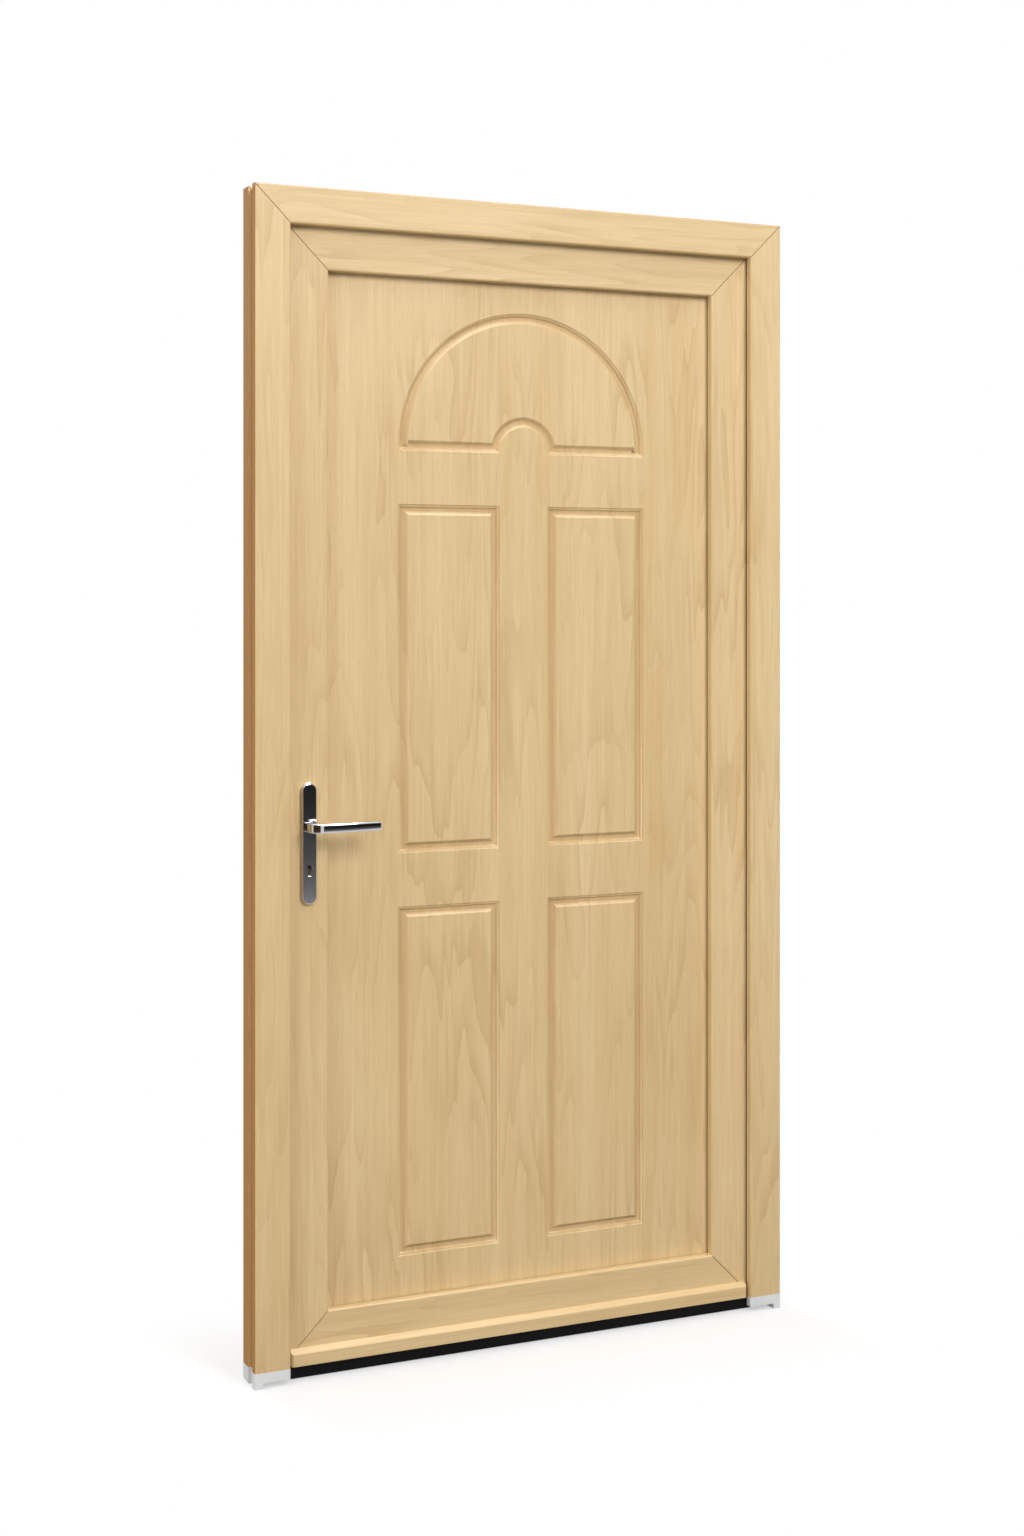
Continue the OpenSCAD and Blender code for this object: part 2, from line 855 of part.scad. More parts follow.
// Leaf profile; the inside lip is left off where outer_edge is the leaf's own edge.
module sash_section(outer_edge) {
    outer_slot_u = overlap_edge + gasket_inset + gasket_w / 2;
    panel_slot_u = aperture_edge - gasket_inset - gasket_w / 2;
    difference() {
        sash_outline(outer_edge);
        chambers(sash_edge + profile_wall, aperture_edge - lip_solid,
            sash_out + profile_wall, sash_out + profile_wall + sash_outer_chamber_d, 3);
        translate([sash_steel_u0, sash_steel_y0])
            square([sash_steel_u1 - sash_steel_u0, sash_steel_y1 - sash_steel_y0]);
        chambers(max(outer_edge, overlap_edge + lip_solid) + profile_wall, bead_seat - profile_wall,
            sash_inner_chamber_y, sash_in - profile_wall, 3);
        translate([outer_slot_u - gasket_slot_w / 2, overlap_back - overrun])
            square([gasket_slot_w, gasket_slot_d + overrun]);
        translate([panel_slot_u - gasket_slot_w / 2, lip_back - gasket_slot_d])
            square([gasket_slot_w, gasket_slot_d + overrun]);
    }
}

module sash_stile() {
    difference() {
        trimmed([
            [at(overlap_edge), sash_foot], [at(sash_edge), sash_foot],
            [at(aperture_edge), foot(aperture_edge)],
            [at(aperture_edge), top(aperture_edge)], [at(overlap_edge), top(overlap_edge)]
        ])
            upright(sash_foot, frame_h)
                sash_section(overlap_edge);
        top_weld(sash_edge, aperture_edge, sash_out);
        top_weld(overlap_edge, bead_seat, sash_in);
        foot_weld(sash_edge, aperture_edge, sash_out);
        foot_weld(sash_edge, bead_seat, sash_in);
    }
}

// Room for the lock, the spindle, the key and the handle's posts in the lock stile.
module lock_room() {
    room_h = case_z1 - case_z0 + 2 * easy_fit;
    translate([at(sash_edge) - overrun, -case_t / 2 - easy_fit, case_z0 - easy_fit])
        cube([faceplate_t + case_w + easy_fit + overrun, case_t + 2 * easy_fit, room_h]);
    translate([lever_x, 0, lever_z])
        rotate([90, 0, 0])
            cylinder(r = collar_r, h = sash_depth + 2 * overrun, center = true);
    slab(sash_out - overrun, sash_in + overrun)
        keyhole_outline(easy_fit);
    handle_screw_places()
        cylinder(r = post_r + easy_fit, h = sash_depth + 2 * overrun, center = true);
    faceplate_screw_places()
        countersunk_hole(faceplate_screw_r, small_screw_l);
}

module sash_lock_stile() {
    color(wood)
        difference() {
            sash_stile();
            lock_room();
        }
}

module sash_hinge_stile() {
    color(wood)
        difference() {
            hinge_side()
                sash_stile();
            leaf_hinge_screw_places()
                countersunk_hole(hinge_screw_r, hinge_screw_l);
        }
}

module sash_top_rail() {
    color(wood)
        difference() {
            trimmed(lintel_outline(overlap_edge, aperture_edge))
                lintel()
                    sash_section(overlap_edge);
            top_weld(sash_edge, aperture_edge, sash_out);
            top_weld(overlap_edge, bead_seat, sash_in);
            hinge_side() {
                top_weld(sash_edge, aperture_edge, sash_out);
                top_weld(overlap_edge, bead_seat, sash_in);
            }
        }
}

module sash_bottom_rail() {
    color(wood)
        difference() {
            trimmed(sill_outline(sash_edge, aperture_edge))
                sill()
                    sash_section(sash_edge);
            foot_weld(sash_edge, aperture_edge, sash_out);
            foot_weld(sash_edge, bead_seat, sash_in);
            hinge_side() {
                foot_weld(sash_edge, aperture_edge, sash_out);
                foot_weld(sash_edge, bead_seat, sash_in);
            }
        }
}

module sash_tube_section() {
    tube_section(sash_steel_u0, sash_steel_u1, sash_steel_y0, sash_steel_y1, sash_steel_t);
}

module stile_steel() {
    upright(foot(bead_seat), top(bead_seat))
        sash_tube_section();
}

module lock_stile_steel() {
    color(steel)
        difference() {
            stile_steel();
            lock_room();
        }
}

module hinge_stile_steel() {
    color(steel)
        hinge_side()
            stile_steel();
}

module top_rail_steel() {
    color(steel)
        trimmed([
            [at(bead_seat), top(sash_edge)], [-at(bead_seat), top(sash_edge)],
            [-at(bead_seat), top(bead_seat)], [at(bead_seat), top(bead_seat)]
        ])
            lintel()
                sash_tube_section();
}

module bottom_rail_steel() {
    color(steel)
        trimmed([
            [at(bead_seat), foot(sash_edge)], [-at(bead_seat), foot(sash_edge)],
            [-at(bead_seat), foot(bead_seat)], [at(bead_seat), foot(bead_seat)]
        ])
            sill()
                sash_tube_section();
}

module panel_outer_gasket() {
    u0 = aperture_edge - gasket_inset - gasket_w;
    u1 = aperture_edge - gasket_inset;
    stem_u = u0 + (gasket_w - gasket_stem_w) / 2;
    stem_u1 = stem_u + gasket_stem_w;
    color(rubber) {
        ring(u0, u1, lip_back, panel_out, foot(u0), foot(u1));
        ring(stem_u, stem_u1, lip_back - gasket_slot_d + easy_fit, lip_back, foot(stem_u), foot(stem_u1));
    }
}

module panel_inner_gasket() {
    u0 = aperture_edge - gasket_inset - gasket_w;
    u1 = aperture_edge - gasket_inset;
    color(rubber)
        ring(u0, u1, panel_in, bead_out, foot(u0), foot(u1));
}

module bead_section() {
    slope_u = aperture_edge - bead_slope_shares[0] * panel_lip_w;
    slope_y = bead_out + bead_slope_shares[1] * (sash_in - bead_out);
    polygon([
        [bead_seat, bead_out], [aperture_edge, bead_out], [aperture_edge, slope_y],
        [slope_u, sash_in], [bead_seat, sash_in]
    ]);
}

module upright_bead() {
    trimmed(upright_outline(bead_seat, aperture_edge))
        upright(foot(bead_seat), top(bead_seat))
            bead_section();
}

module lock_bead() {
    color(wood)
        upright_bead();
}

module hinge_bead() {
    color(wood)
        hinge_side()
            upright_bead();
}

module top_bead() {
    color(wood)
        trimmed(lintel_outline(bead_seat, aperture_edge))
            lintel()
                bead_section();
}

module bottom_bead() {
    color(wood)
        trimmed(sill_outline(bead_seat, aperture_edge))
            sill()
                bead_section();
}

module sash_gasket() {
    color(rubber)
        lip_seal(overlap_edge + gasket_inset, overlap_back, -1,
            overlap_back - frame_in - seal_clear, sash_foot);
}

module bottom_seal() {
    tip = threshold_top + seal_clear;
    color(rubber)
        across(bottom_seal_half) {
            translate([-faceplate_w / 2, sash_foot])
                square([faceplate_w, faceplate_t]);
            difference() {
                translate([-bottom_seal_w / 2, tip])
                    square([bottom_seal_w, sash_foot - tip]);
                for (sy = [-1, 1])
                    round_off(sy * bottom_seal_w / 2, tip, sy, -1, bottom_seal_w / 4);
            }
        }
}

module drip_bar() {
    h = drip_h;
    color(wood)
        intersection() {
            across(drip_half)
                difference() {
                    polygon([
                        [sash_out, drip_foot], [drip_front, drip_foot],
                        [drip_front, drip_top - drip_slope_shares[0] * h],
                        [drip_front + drip_nose_share * drip_out, drip_top - drip_slope_shares[1] * h],
                        [sash_out, drip_top]
                    ]);
                    translate([(sash_out + drip_front - drip_throat) / 2, drip_foot - overrun])
                        square([drip_throat, drip_throat + overrun]);
                }
            translate([0, 0, drip_foot])
                linear_extrude(drip_h)
                    polygon([
                        [-drip_half, sash_out], [-drip_half, drip_front + drip_chamfer],
                        [-drip_half + drip_chamfer, drip_front], [drip_half - drip_chamfer, drip_front],
                        [drip_half, drip_front + drip_chamfer], [drip_half, sash_out]
                    ]);
        }
}

// Panel with its moulded pattern

// Section of the moulded groove: distance from its outer edge, then depth below the panel's face.
module groove_section() {
    polygon(concat(
        [[0, -overrun]],
        [for (p = groove_shares) [p[0] * groove_w, p[1] * groove_d]],
        [[groove_w, -overrun]]
    ));
}

// One straight groove of a rectangle, along Z at x0, cut to 45 degrees at both ends.
module groove_upright(x0, z0, z1) {
    x1 = x0 + groove_w;
    trimmed([
        [x0, z0 - mitre_lap], [x0, z1 + mitre_lap],
        [x1, z1 - groove_w + mitre_lap], [x1, z0 + groove_w - mitre_lap]
    ])
        translate([x0, panel_out, z0])
            linear_extrude(z1 - z0)
                groove_section();
}

// One straight groove along X at z0, its width running upwards, cut to an outline.
module groove_level(x0, x1, z0, outline) {
    trimmed(outline)
        translate([x1, panel_out, z0])
            rotate([0, -90, 0])
                linear_extrude(x1 - x0)
                    groove_section();
}

// Groove round one rectangular field.
module field_groove(x0, x1, z0, z1) {
    groove_upright(x0, z0, z1);
    translate([x0 + x1, 0, 0])
        mirror([1, 0, 0])
            groove_upright(x0, z0, z1);
    foot_run = [
        [x0 - mitre_lap, z0], [x0 + groove_w - mitre_lap, z0 + groove_w],
        [x1 - groove_w + mitre_lap, z0 + groove_w], [x1 + mitre_lap, z0]
    ];
    groove_level(x0, x1, z0, foot_run);
    translate([0, 0, z0 + z1])
        mirror([0, 0, 1])
            groove_level(x0, x1, z0, foot_run);
}

// Mitre points between the arch's foot and its side, and between its foot and the hub, at distance d in.
function side_mitre(d) =
    [-sqrt(pow(arch_r - d, 2) - pow(max(0, d - arch_stilt), 2)), arch_foot + d];
function hub_mitre(d) =
    [-sqrt(pow(hub_r + d, 2) - d * d), arch_foot + d];

// A line through two points, drawn a little past both and moved along X.
function mitre_line(p, q, dx) =
    [p - mitre_share * (q - p) + [dx, 0], q + mitre_share * (q - p) + [dx, 0]];
function side_line(dx) = mitre_line(side_mitre(0), side_mitre(groove_w), dx);
function hub_line(dx) = mitre_line(hub_mitre(0), hub_mitre(groove_w), dx);

function mirrored(p) = [-p[0], p[1]];

// Turns the groove's section about an upright centre on the panel; sx says which way its width runs.
module groove_arc(z, r, sx) {
    translate([0, panel_out, z])
        rotate([90, 0, 0])
            rotate_extrude(angle = 180)
                translate([r, 0])
                    mirror([sx < 0 ? 1 : 0, 0])
                        mirror([0, 1])
                            groove_section();
}

// Groove round the arched field with the half-round hub at its foot.
module arch_groove() {
    reach = arch_r + groove_w;
    side = side_line(mitre_lap);
    hub = hub_line(-mitre_lap);
    foot_side = side_line(-mitre_lap);
    foot_hub = hub_line(mitre_lap);
    trimmed([
        side[0], side[1], mirrored(side[1]), mirrored(side[0]),
        [reach, arch_z + reach], [-reach, arch_z + reach]
    ]) {
        groove_arc(arch_z, arch_r, -1);
        for (m = [0, 1])
            mirror([m, 0, 0])
                translate([-arch_r, panel_out, arch_foot])
                    linear_extrude(arch_stilt)
                        groove_section();
    }
    trimmed([
        hub[0], hub[1], [hub[1][0], arch_z + reach], [-hub[1][0], arch_z + reach],
        mirrored(hub[1]), mirrored(hub[0])
    ])
        groove_arc(arch_foot, hub_r, 1);
    for (m = [0, 1])
        mirror([m, 0, 0])
            groove_level(-arch_r, 0, arch_foot, [foot_side[0], foot_side[1], foot_hub[1], foot_hub[0]]);
}

module pattern_grooves() {
    arch_groove();
    for (m = [0, 1], z0 = [field_foot, field_foot + field_h + pattern_gap])
        mirror([m, 0, 0])
            field_groove(-arch_r, -field_inner, z0, z0 + field_h);
}

module door_panel() {
    color(wood)
        difference() {
            translate([at(panel_edge), panel_out, foot(panel_edge)])
                cube([-2 * at(panel_edge), panel_t, top(panel_edge) - foot(panel_edge)]);
            pattern_grooves();
            translate([0, panel_out + panel_in, 0])
                inside()
                    pattern_grooves();
        }
}

module panel_packers() {
    color(black_plastic) {
        for (m = [0, 1]) {
            mirror([m, 0, 0]) {
                translate([at(panel_edge) + packer_end, panel_out, foot(bead_seat)])
                    cube([packer_l, panel_t, panel_edge_gap]);
                for (z = [foot(panel_edge) + packer_end, top(panel_edge) - packer_end - packer_l])
                    translate([at(bead_seat), panel_out, z])
                        cube([panel_edge_gap, panel_t, packer_l]);
            }
        }
    }
}

// Lock

// Keyhole outline in X and Z, grown by a margin.
module keyhole_outline(grow) {
    r = keyhole_r + grow;
    translate([lever_x, key_z]) {
        circle(r);
        polygon([
            [-keyhole_slot_shares[0] * keyhole_r - grow, 0], [keyhole_slot_shares[0] * keyhole_r + grow, 0],
            [keyhole_slot_shares[1] * keyhole_r + grow, -keyhole_h - grow],
            [-keyhole_slot_shares[1] * keyhole_r - grow, -keyhole_h - grow]
        ]);
    }
}

// Holes for the follower and the key through the lock's walls.
module lock_holes() {
    translate([lever_x, 0, lever_z])
        rotate([90, 0, 0])
            cylinder(r = hub_bearing_r + running, h = case_t + 2 * overrun, center = true);
    slab(-case_t / 2 - overrun, case_t / 2 + overrun)
        keyhole_outline(easy_fit);
}

module lock_case() {
    h = case_z1 - case_z0;
    color(steel)
        difference() {
            translate([case_x, -case_t / 2 + case_sheet, case_z0])
                cube([case_w, case_t - case_sheet, h]);
            translate([case_x - overrun, -case_t / 2, case_z0 + case_sheet])
                cube([case_w - case_sheet + overrun, case_t - case_sheet, h - 2 * case_sheet]);
            lock_holes();
        }
}

module lock_cover() {
    color(steel)
        difference() {
            translate([case_x, -case_t / 2, case_z0])
                cube([case_w, case_sheet, case_z1 - case_z0]);
            lock_holes();
        }
}

module faceplate_screw_places() {
    for (z = faceplate_screw_heights)
        translate([at(sash_edge), 0, z])
            rotate([0, -90, 0])
                children();
}

// Window in the faceplate that a bolt slides through.
module faceplate_window(z0, h) {
    translate([at(sash_edge) - overrun, -bolt_t / 2 - easy_fit, z0 - easy_fit])
        cube([faceplate_t + 2 * overrun, bolt_t + 2 * easy_fit, h + 2 * easy_fit]);
}

module lock_faceplate() {
    end = faceplate_h / 2 - faceplate_w / 2;
    color(metal)
        difference() {
            translate([at(sash_edge), 0, faceplate_z])
                rotate([90, 0, 90])
                    linear_extrude(faceplate_t) {
                        square([faceplate_w, 2 * end], center = true);
                        for (s = [-1, 1])
                            translate([0, s * end])
                                circle(faceplate_w / 2);
                    }
            faceplate_window(latch_z0, latch_h);
            faceplate_window(bolt_z0, bolt_h);
            faceplate_screw_places()
                countersunk_hole(faceplate_screw_r, small_screw_l);
        }
}

module faceplate_screws() {
    color(metal)
        faceplate_screw_places()
            countersunk(faceplate_screw_r, small_screw_l);
}

module lock_follower() {
    color(metal)
        translate([lever_x, 0, lever_z])
            difference() {
                union() {
                    rotate([90, 0, 0])
                        cylinder(r = hub_bearing_r, h = case_t, center = true);
                    rotate([90, 0, 0])
                        cylinder(r = follower_r, h = bolt_t, center = true);
                    rotate([0, -arm_tilt, 0])
                        translate([-arm_w / 2, -bolt_t / 2, 0])
                            cube([arm_w, bolt_t, arm_r]);
                }
                cube([spindle_w + 2 * socket_clear, case_t + 2 * overrun, spindle_w + 2 * socket_clear],
                    center = true);
            }
}

module latch_bolt() {
    tip_x = at(sash_edge) - latch_throw;
    body_l = latch_throw + faceplate_t + latch_body_l;
    tail_z = latch_z0 + (latch_h - latch_tail_h) / 2;
    lug_x = tip_x + body_l + latch_tail_l - latch_lug_w;
    color(metal) {
        difference() {
            translate([tip_x, -bolt_t / 2, latch_z0])
                cube([body_l, bolt_t, latch_h]);
            translate([tip_x, -bolt_t / 2, latch_z0 - overrun])
                linear_extrude(latch_h + 2 * overrun)
                    polygon([[-overrun, -overrun], [latch_throw, -overrun], [latch_throw, 0],
                        [overrun, bolt_t - 2 * overrun], [-overrun, bolt_t - 2 * overrun]]);
        }
        translate([tip_x + body_l, -bolt_t / 2, tail_z])
            cube([latch_tail_l, bolt_t, latch_tail_h]);
        translate([lug_x, -bolt_t / 2, tail_z - latch_lug_drop])
            cube([latch_lug_w, bolt_t, latch_lug_drop]);
    }
}

module dead_bolt() {
    head_x = at(sash_edge);
    tail_x = head_x + bolt_head_l;
    tail_z = bolt_z0 + bolt_tail_trim;
    tail_h = bolt_h - 2 * bolt_tail_trim;
    color(metal) {
        translate([head_x, 0, bolt_z0])
            linear_extrude(bolt_h)
                polygon([
                    [0, -bolt_t / 2 + bolt_chamfer], [bolt_chamfer, -bolt_t / 2],
                    [bolt_head_l, -bolt_t / 2], [bolt_head_l, bolt_t / 2],
                    [bolt_chamfer, bolt_t / 2], [0, bolt_t / 2 - bolt_chamfer]
                ]);
        translate([tail_x, -bolt_t / 2, tail_z])
            cube([bolt_tail_l, bolt_t, tail_h]);
        for (x = [tail_x, tail_x + bolt_tail_l - talon_w])
            translate([x, -bolt_t / 2, tail_z - talon_drop])
                cube([talon_w, bolt_t, talon_drop]);
    }
}

// Handle

// Outline of the handle plate, in X and Z about its middle, pulled in by a margin.
module plate_outline(pull) {
    end = (plate_h - plate_w) / 2;
    square([plate_w - 2 * pull, 2 * end], center = true);
    for (s = [-1, 1])
        translate([0, s * end])
            circle(plate_end_r - pull);
}

// Bevelled plate with round ends, standing out from the leaf's outside face.
module plate_body() {
    end = (plate_h - plate_w) / 2;
    flat_t = plate_t - plate_bevel;
    translate([lever_x, sash_out, plate_z]) {
        rotate([90, 0, 0])
            linear_extrude(flat_t)
                plate_outline(0);
        for (s = [-1, 1])
            translate([0, -flat_t, s * end])
                rotate([90, 0, 0])
                    cylinder(r1 = plate_end_r, r2 = plate_end_r - plate_bevel, h = plate_bevel);
        translate([0, 0, -end])
            linear_extrude(2 * end)
                polygon([
                    [-plate_end_r, -flat_t], [plate_end_r, -flat_t],
                    [plate_end_r - plate_bevel, -plate_t], [-plate_end_r + plate_bevel, -plate_t]
                ]);
    }
}

module handle_screw_places() {
    for (z = handle_screw_heights)
        translate([lever_x, 0, z])
            rotate([-90, 0, 0])
                children();
}

module handle_plate() {
    difference() {
        union() {
            plate_body();
            translate([lever_x, sash_out - plate_t, lever_z])
                rotate([90, 0, 0])
                    cylinder(r = collar_r, h = collar_h);
        }
        translate([lever_x, sash_out + overrun, lever_z])
            rotate([90, 0, 0])
                cylinder(r = neck_hole_r, h = plate_t + collar_h + 2 * overrun);
        slab(sash_out - plate_t - overrun, sash_out + overrun)
            keyhole_outline(0);
    }
}

module outer_handle_plate() {
    color(dark_chrome)
        difference() {
            union() {
                handle_plate();
                handle_screw_places()
                    translate([0, 0, sash_out])
                        cylinder(r = post_r, h = post_l);
            }
            handle_screw_places()
                translate([0, 0, sash_out])
                    cylinder(r = handle_screw_r, h = post_l + overrun);
        }
}

module inner_handle_plate() {
    color(dark_chrome)
        difference() {
            inside()
                handle_plate();
            handle_screw_places() {
                translate([0, 0, sash_in - overrun])
                    cylinder(r = handle_screw_r, h = plate_t + 2 * overrun);
                translate([0, 0, sash_in + plate_t - handle_screw_head_h])
                    cylinder(r = handle_screw_head_r, h = handle_screw_head_h + overrun);
            }
        }
}

module handle_screws() {
    head_y = sash_in + plate_t;
    color(dark_chrome)
        handle_screw_places()
            difference() {
                union() {
                    translate([0, 0, sash_out])
                        cylinder(r = handle_screw_r, h = head_y - sash_out);
                    translate([0, 0, head_y - handle_screw_head_h])
                        cylinder(r = handle_screw_head_r, h = handle_screw_head_h);
                }
                translate([-handle_screw_head_r, -screw_slot_w / 2, head_y - screw_slot_d])
                    cube([2 * handle_screw_head_r, screw_slot_w, screw_slot_d + overrun]);
            }
}

// Section of the lever's grip about its middle: thickness, then height.
module grip_section() {
    difference() {
        square([grip_t, grip_h], center = true);
        for (sx = [-1, 1], sy = [-1, 1])
            round_off(sx * grip_t / 2, sy * grip_h / 2, sx, sy, grip_edge_r);
    }
}

// Lever with a round neck, a bend and a bowed flat grip with a round end.
module lever() {
    neck_l = grip_out - bend_r;
    socket_w = spindle_w + 2 * socket_clear;
    difference() {
        translate([lever_x, sash_out, lever_z]) {
            rotate([90, 0, 0])
                cylinder(r = neck_r, h = neck_l);
            translate([0, -neck_l, 0])
                sphere(neck_r);
            translate([bend_r, -grip_out + bend_r, 0])
                rotate([0, 0, 180])
                    rotate_extrude(angle = 90)
                        translate([bend_r, 0])
                            grip_section();
            intersection() {
                translate([bend_r, -grip_out + bow_r, 0])
                    rotate([0, 0, -90])
                        rotate_extrude(angle = bow_angle)
                            translate([bow_r, 0])
                                grip_section();
                slab(-lever_out - overrun, 0)
                    grip_outline();
            }
        }
        translate([lever_x - socket_w / 2, -spindle_half, lever_z - socket_w / 2])
            cube([socket_w, spindle_half, socket_w]);
    }
}

// Outline of the grip in X and Z, with the rounded corners of its end.
module grip_outline() {
    difference() {
        translate([0, -grip_h])
            square([lever_l, 2 * grip_h]);
        for (s = [-1, 1])
            round_off(lever_l, s * grip_h / 2, 1, s, grip_tip_r);
    }
}

module outer_lever() {
    color(dark_chrome)
        lever();
}

module inner_lever() {
    color(dark_chrome)
        inside()
            lever();
}

module lever_spindle() {
    color(steel)
        translate([lever_x, 0, lever_z])
            cube([spindle_w, 2 * spindle_half, spindle_w], center = true);
}

// Hinges

module hinge_place(i) {
    translate([hinge_x, hinge_y, hinge_heights[i]])
        children();
}

// Places of the screws in the hinge plates: u0 to u1 across, on the face at y.
module hinge_screw_grid(shares, u0, u1, y) {
    plate_l = 2 * (barrel_h + hinge_plate_margin);
    for (z = hinge_heights, share = shares)
        translate([-at((u0 + u1) / 2 + share[0] * (u1 - u0)), y, z + share[1] * plate_l])
            rotate([-90, 0, 0])
                children();
}

module frame_hinge_screw_places() {
    hinge_screw_grid(frame_screw_shares, frame_plate_u0, hinge_web_u0, frame_in + hinge_plate_t)
        children();
}

module leaf_hinge_screw_places() {
    hinge_screw_grid(leaf_screw_shares, leaf_plate_u0, leaf_plate_u1, sash_in + hinge_plate_t)
        children();
}

// Upright plate with round corners on a face at y, from distance u0 to u1.
module hinge_plate(i, u0, u1, y) {
    half = barrel_h + hinge_plate_margin;
    translate([0, 0, hinge_heights[i]])
        slab(y, y + hinge_plate_t)
            difference() {
                translate([-at(u1), -half])
                    square([u1 - u0, 2 * half]);
                for (s = [-1, 1]) {
                    round_off(-at(u0), s * half, 1, s, edge_r);
                    round_off(-at(u1), s * half, -1, s, edge_r);
                }
            }
}

module hinge_frame_half(i) {
    color(hinge_white)
        difference() {
            union() {
                hinge_plate(i, frame_plate_u0, hinge_web_u1, frame_in);
                hinge_place(i)
                    translate([0, 0, -barrel_h])
                        cylinder(r = barrel_r, h = barrel_h - washer_t);
                translate([-at(hinge_web_u1), frame_in, hinge_heights[i] - barrel_h])
                    cube([hinge_web_w, hinge_y - frame_in, barrel_h - washer_t]);
            }
            hinge_place(i)
                translate([0, 0, -barrel_h + pin_inset])
                    cylinder(r = pin_r, h = barrel_h);
            frame_hinge_screw_places()
                countersunk_hole(hinge_screw_r, hinge_screw_l);
        }
}

module hinge_leaf_half(i) {
    plate_y = sash_in - hinge_y;
    arm_l = leaf_plate_u0 - hinge_side_w + hinge_plate_t;
    color(hinge_white)
        difference() {
            union() {
                hinge_plate(i, leaf_plate_u0, leaf_plate_u1, sash_in);
                hinge_place(i) {
                    translate([0, 0, barrel_gap])
                        cylinder(r = barrel_r, h = barrel_h);
                    translate([-arm_l, plate_y + hinge_plate_t - overrun, barrel_gap])
                        cube([arm_l, -plate_y - hinge_plate_t + overrun, barrel_h]);
                }
            }
            hinge_place(i)
                cylinder(r = pin_r + running, h = barrel_h - pin_inset);
            leaf_hinge_screw_places()
                countersunk_hole(hinge_screw_r, hinge_screw_l);
        }
}

module top_hinge_frame_half() {
    hinge_frame_half(top_hinge);
}

module middle_hinge_frame_half() {
    hinge_frame_half(middle_hinge);
}

module bottom_hinge_frame_half() {
    hinge_frame_half(bottom_hinge);
}

module top_hinge_leaf_half() {
    hinge_leaf_half(top_hinge);
}

module middle_hinge_leaf_half() {
    hinge_leaf_half(middle_hinge);
}

module bottom_hinge_leaf_half() {
    hinge_leaf_half(bottom_hinge);
}

module hinge_pins() {
    color(metal)
        for (i = [0:len(hinge_heights) - 1])
            hinge_place(i)
                translate([0, 0, -barrel_h + pin_inset])
                    cylinder(r = pin_r, h = 2 * (barrel_h - pin_inset) - pin_inset);
}

module hinge_washers() {
    color(black_plastic)
        for (i = [0:len(hinge_heights) - 1])
            hinge_place(i)
                translate([0, 0, -washer_t])
                    difference() {
                        cylinder(r = barrel_r, h = washer_t);
                        translate([0, 0, -overrun])
                            cylinder(r = pin_r, h = washer_t + 2 * overrun);
                    }
}

module frame_hinge_screws() {
    color(metal)
        frame_hinge_screw_places()
            countersunk(hinge_screw_r, hinge_screw_l);
}

module leaf_hinge_screws() {
    color(metal)
        leaf_hinge_screw_places()
            countersunk(hinge_screw_r, hinge_screw_l);
}

frame_lock_jamb();
frame_hinge_jamb();
frame_head();
lock_jamb_steel();
hinge_jamb_steel();
head_steel();
frame_gasket();
lock_end_block();
hinge_end_block();
threshold_base();
threshold_tread();
tread_screws();
keep_plate();
keep_screws();
top_hinge_frame_half();
middle_hinge_frame_half();
bottom_hinge_frame_half();
hinge_pins();
hinge_washers();
frame_hinge_screws();
sash_lock_stile();
sash_hinge_stile();
sash_top_rail();
sash_bottom_rail();
lock_stile_steel();
hinge_stile_steel();
top_rail_steel();
bottom_rail_steel();
door_panel();
panel_packers();
panel_outer_gasket();
panel_inner_gasket();
lock_bead();
hinge_bead();
top_bead();
bottom_bead();
sash_gasket();
bottom_seal();
drip_bar();
lock_case();
lock_cover();
lock_faceplate();
faceplate_screws();
outer_handle_plate();
inner_handle_plate();
handle_screws();
top_hinge_leaf_half();
middle_hinge_leaf_half();
bottom_hinge_leaf_half();
leaf_hinge_screws();
outer_lever();
inner_lever();
lever_spindle();
lock_follower();
latch_bolt();
dead_bolt();
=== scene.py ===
import math

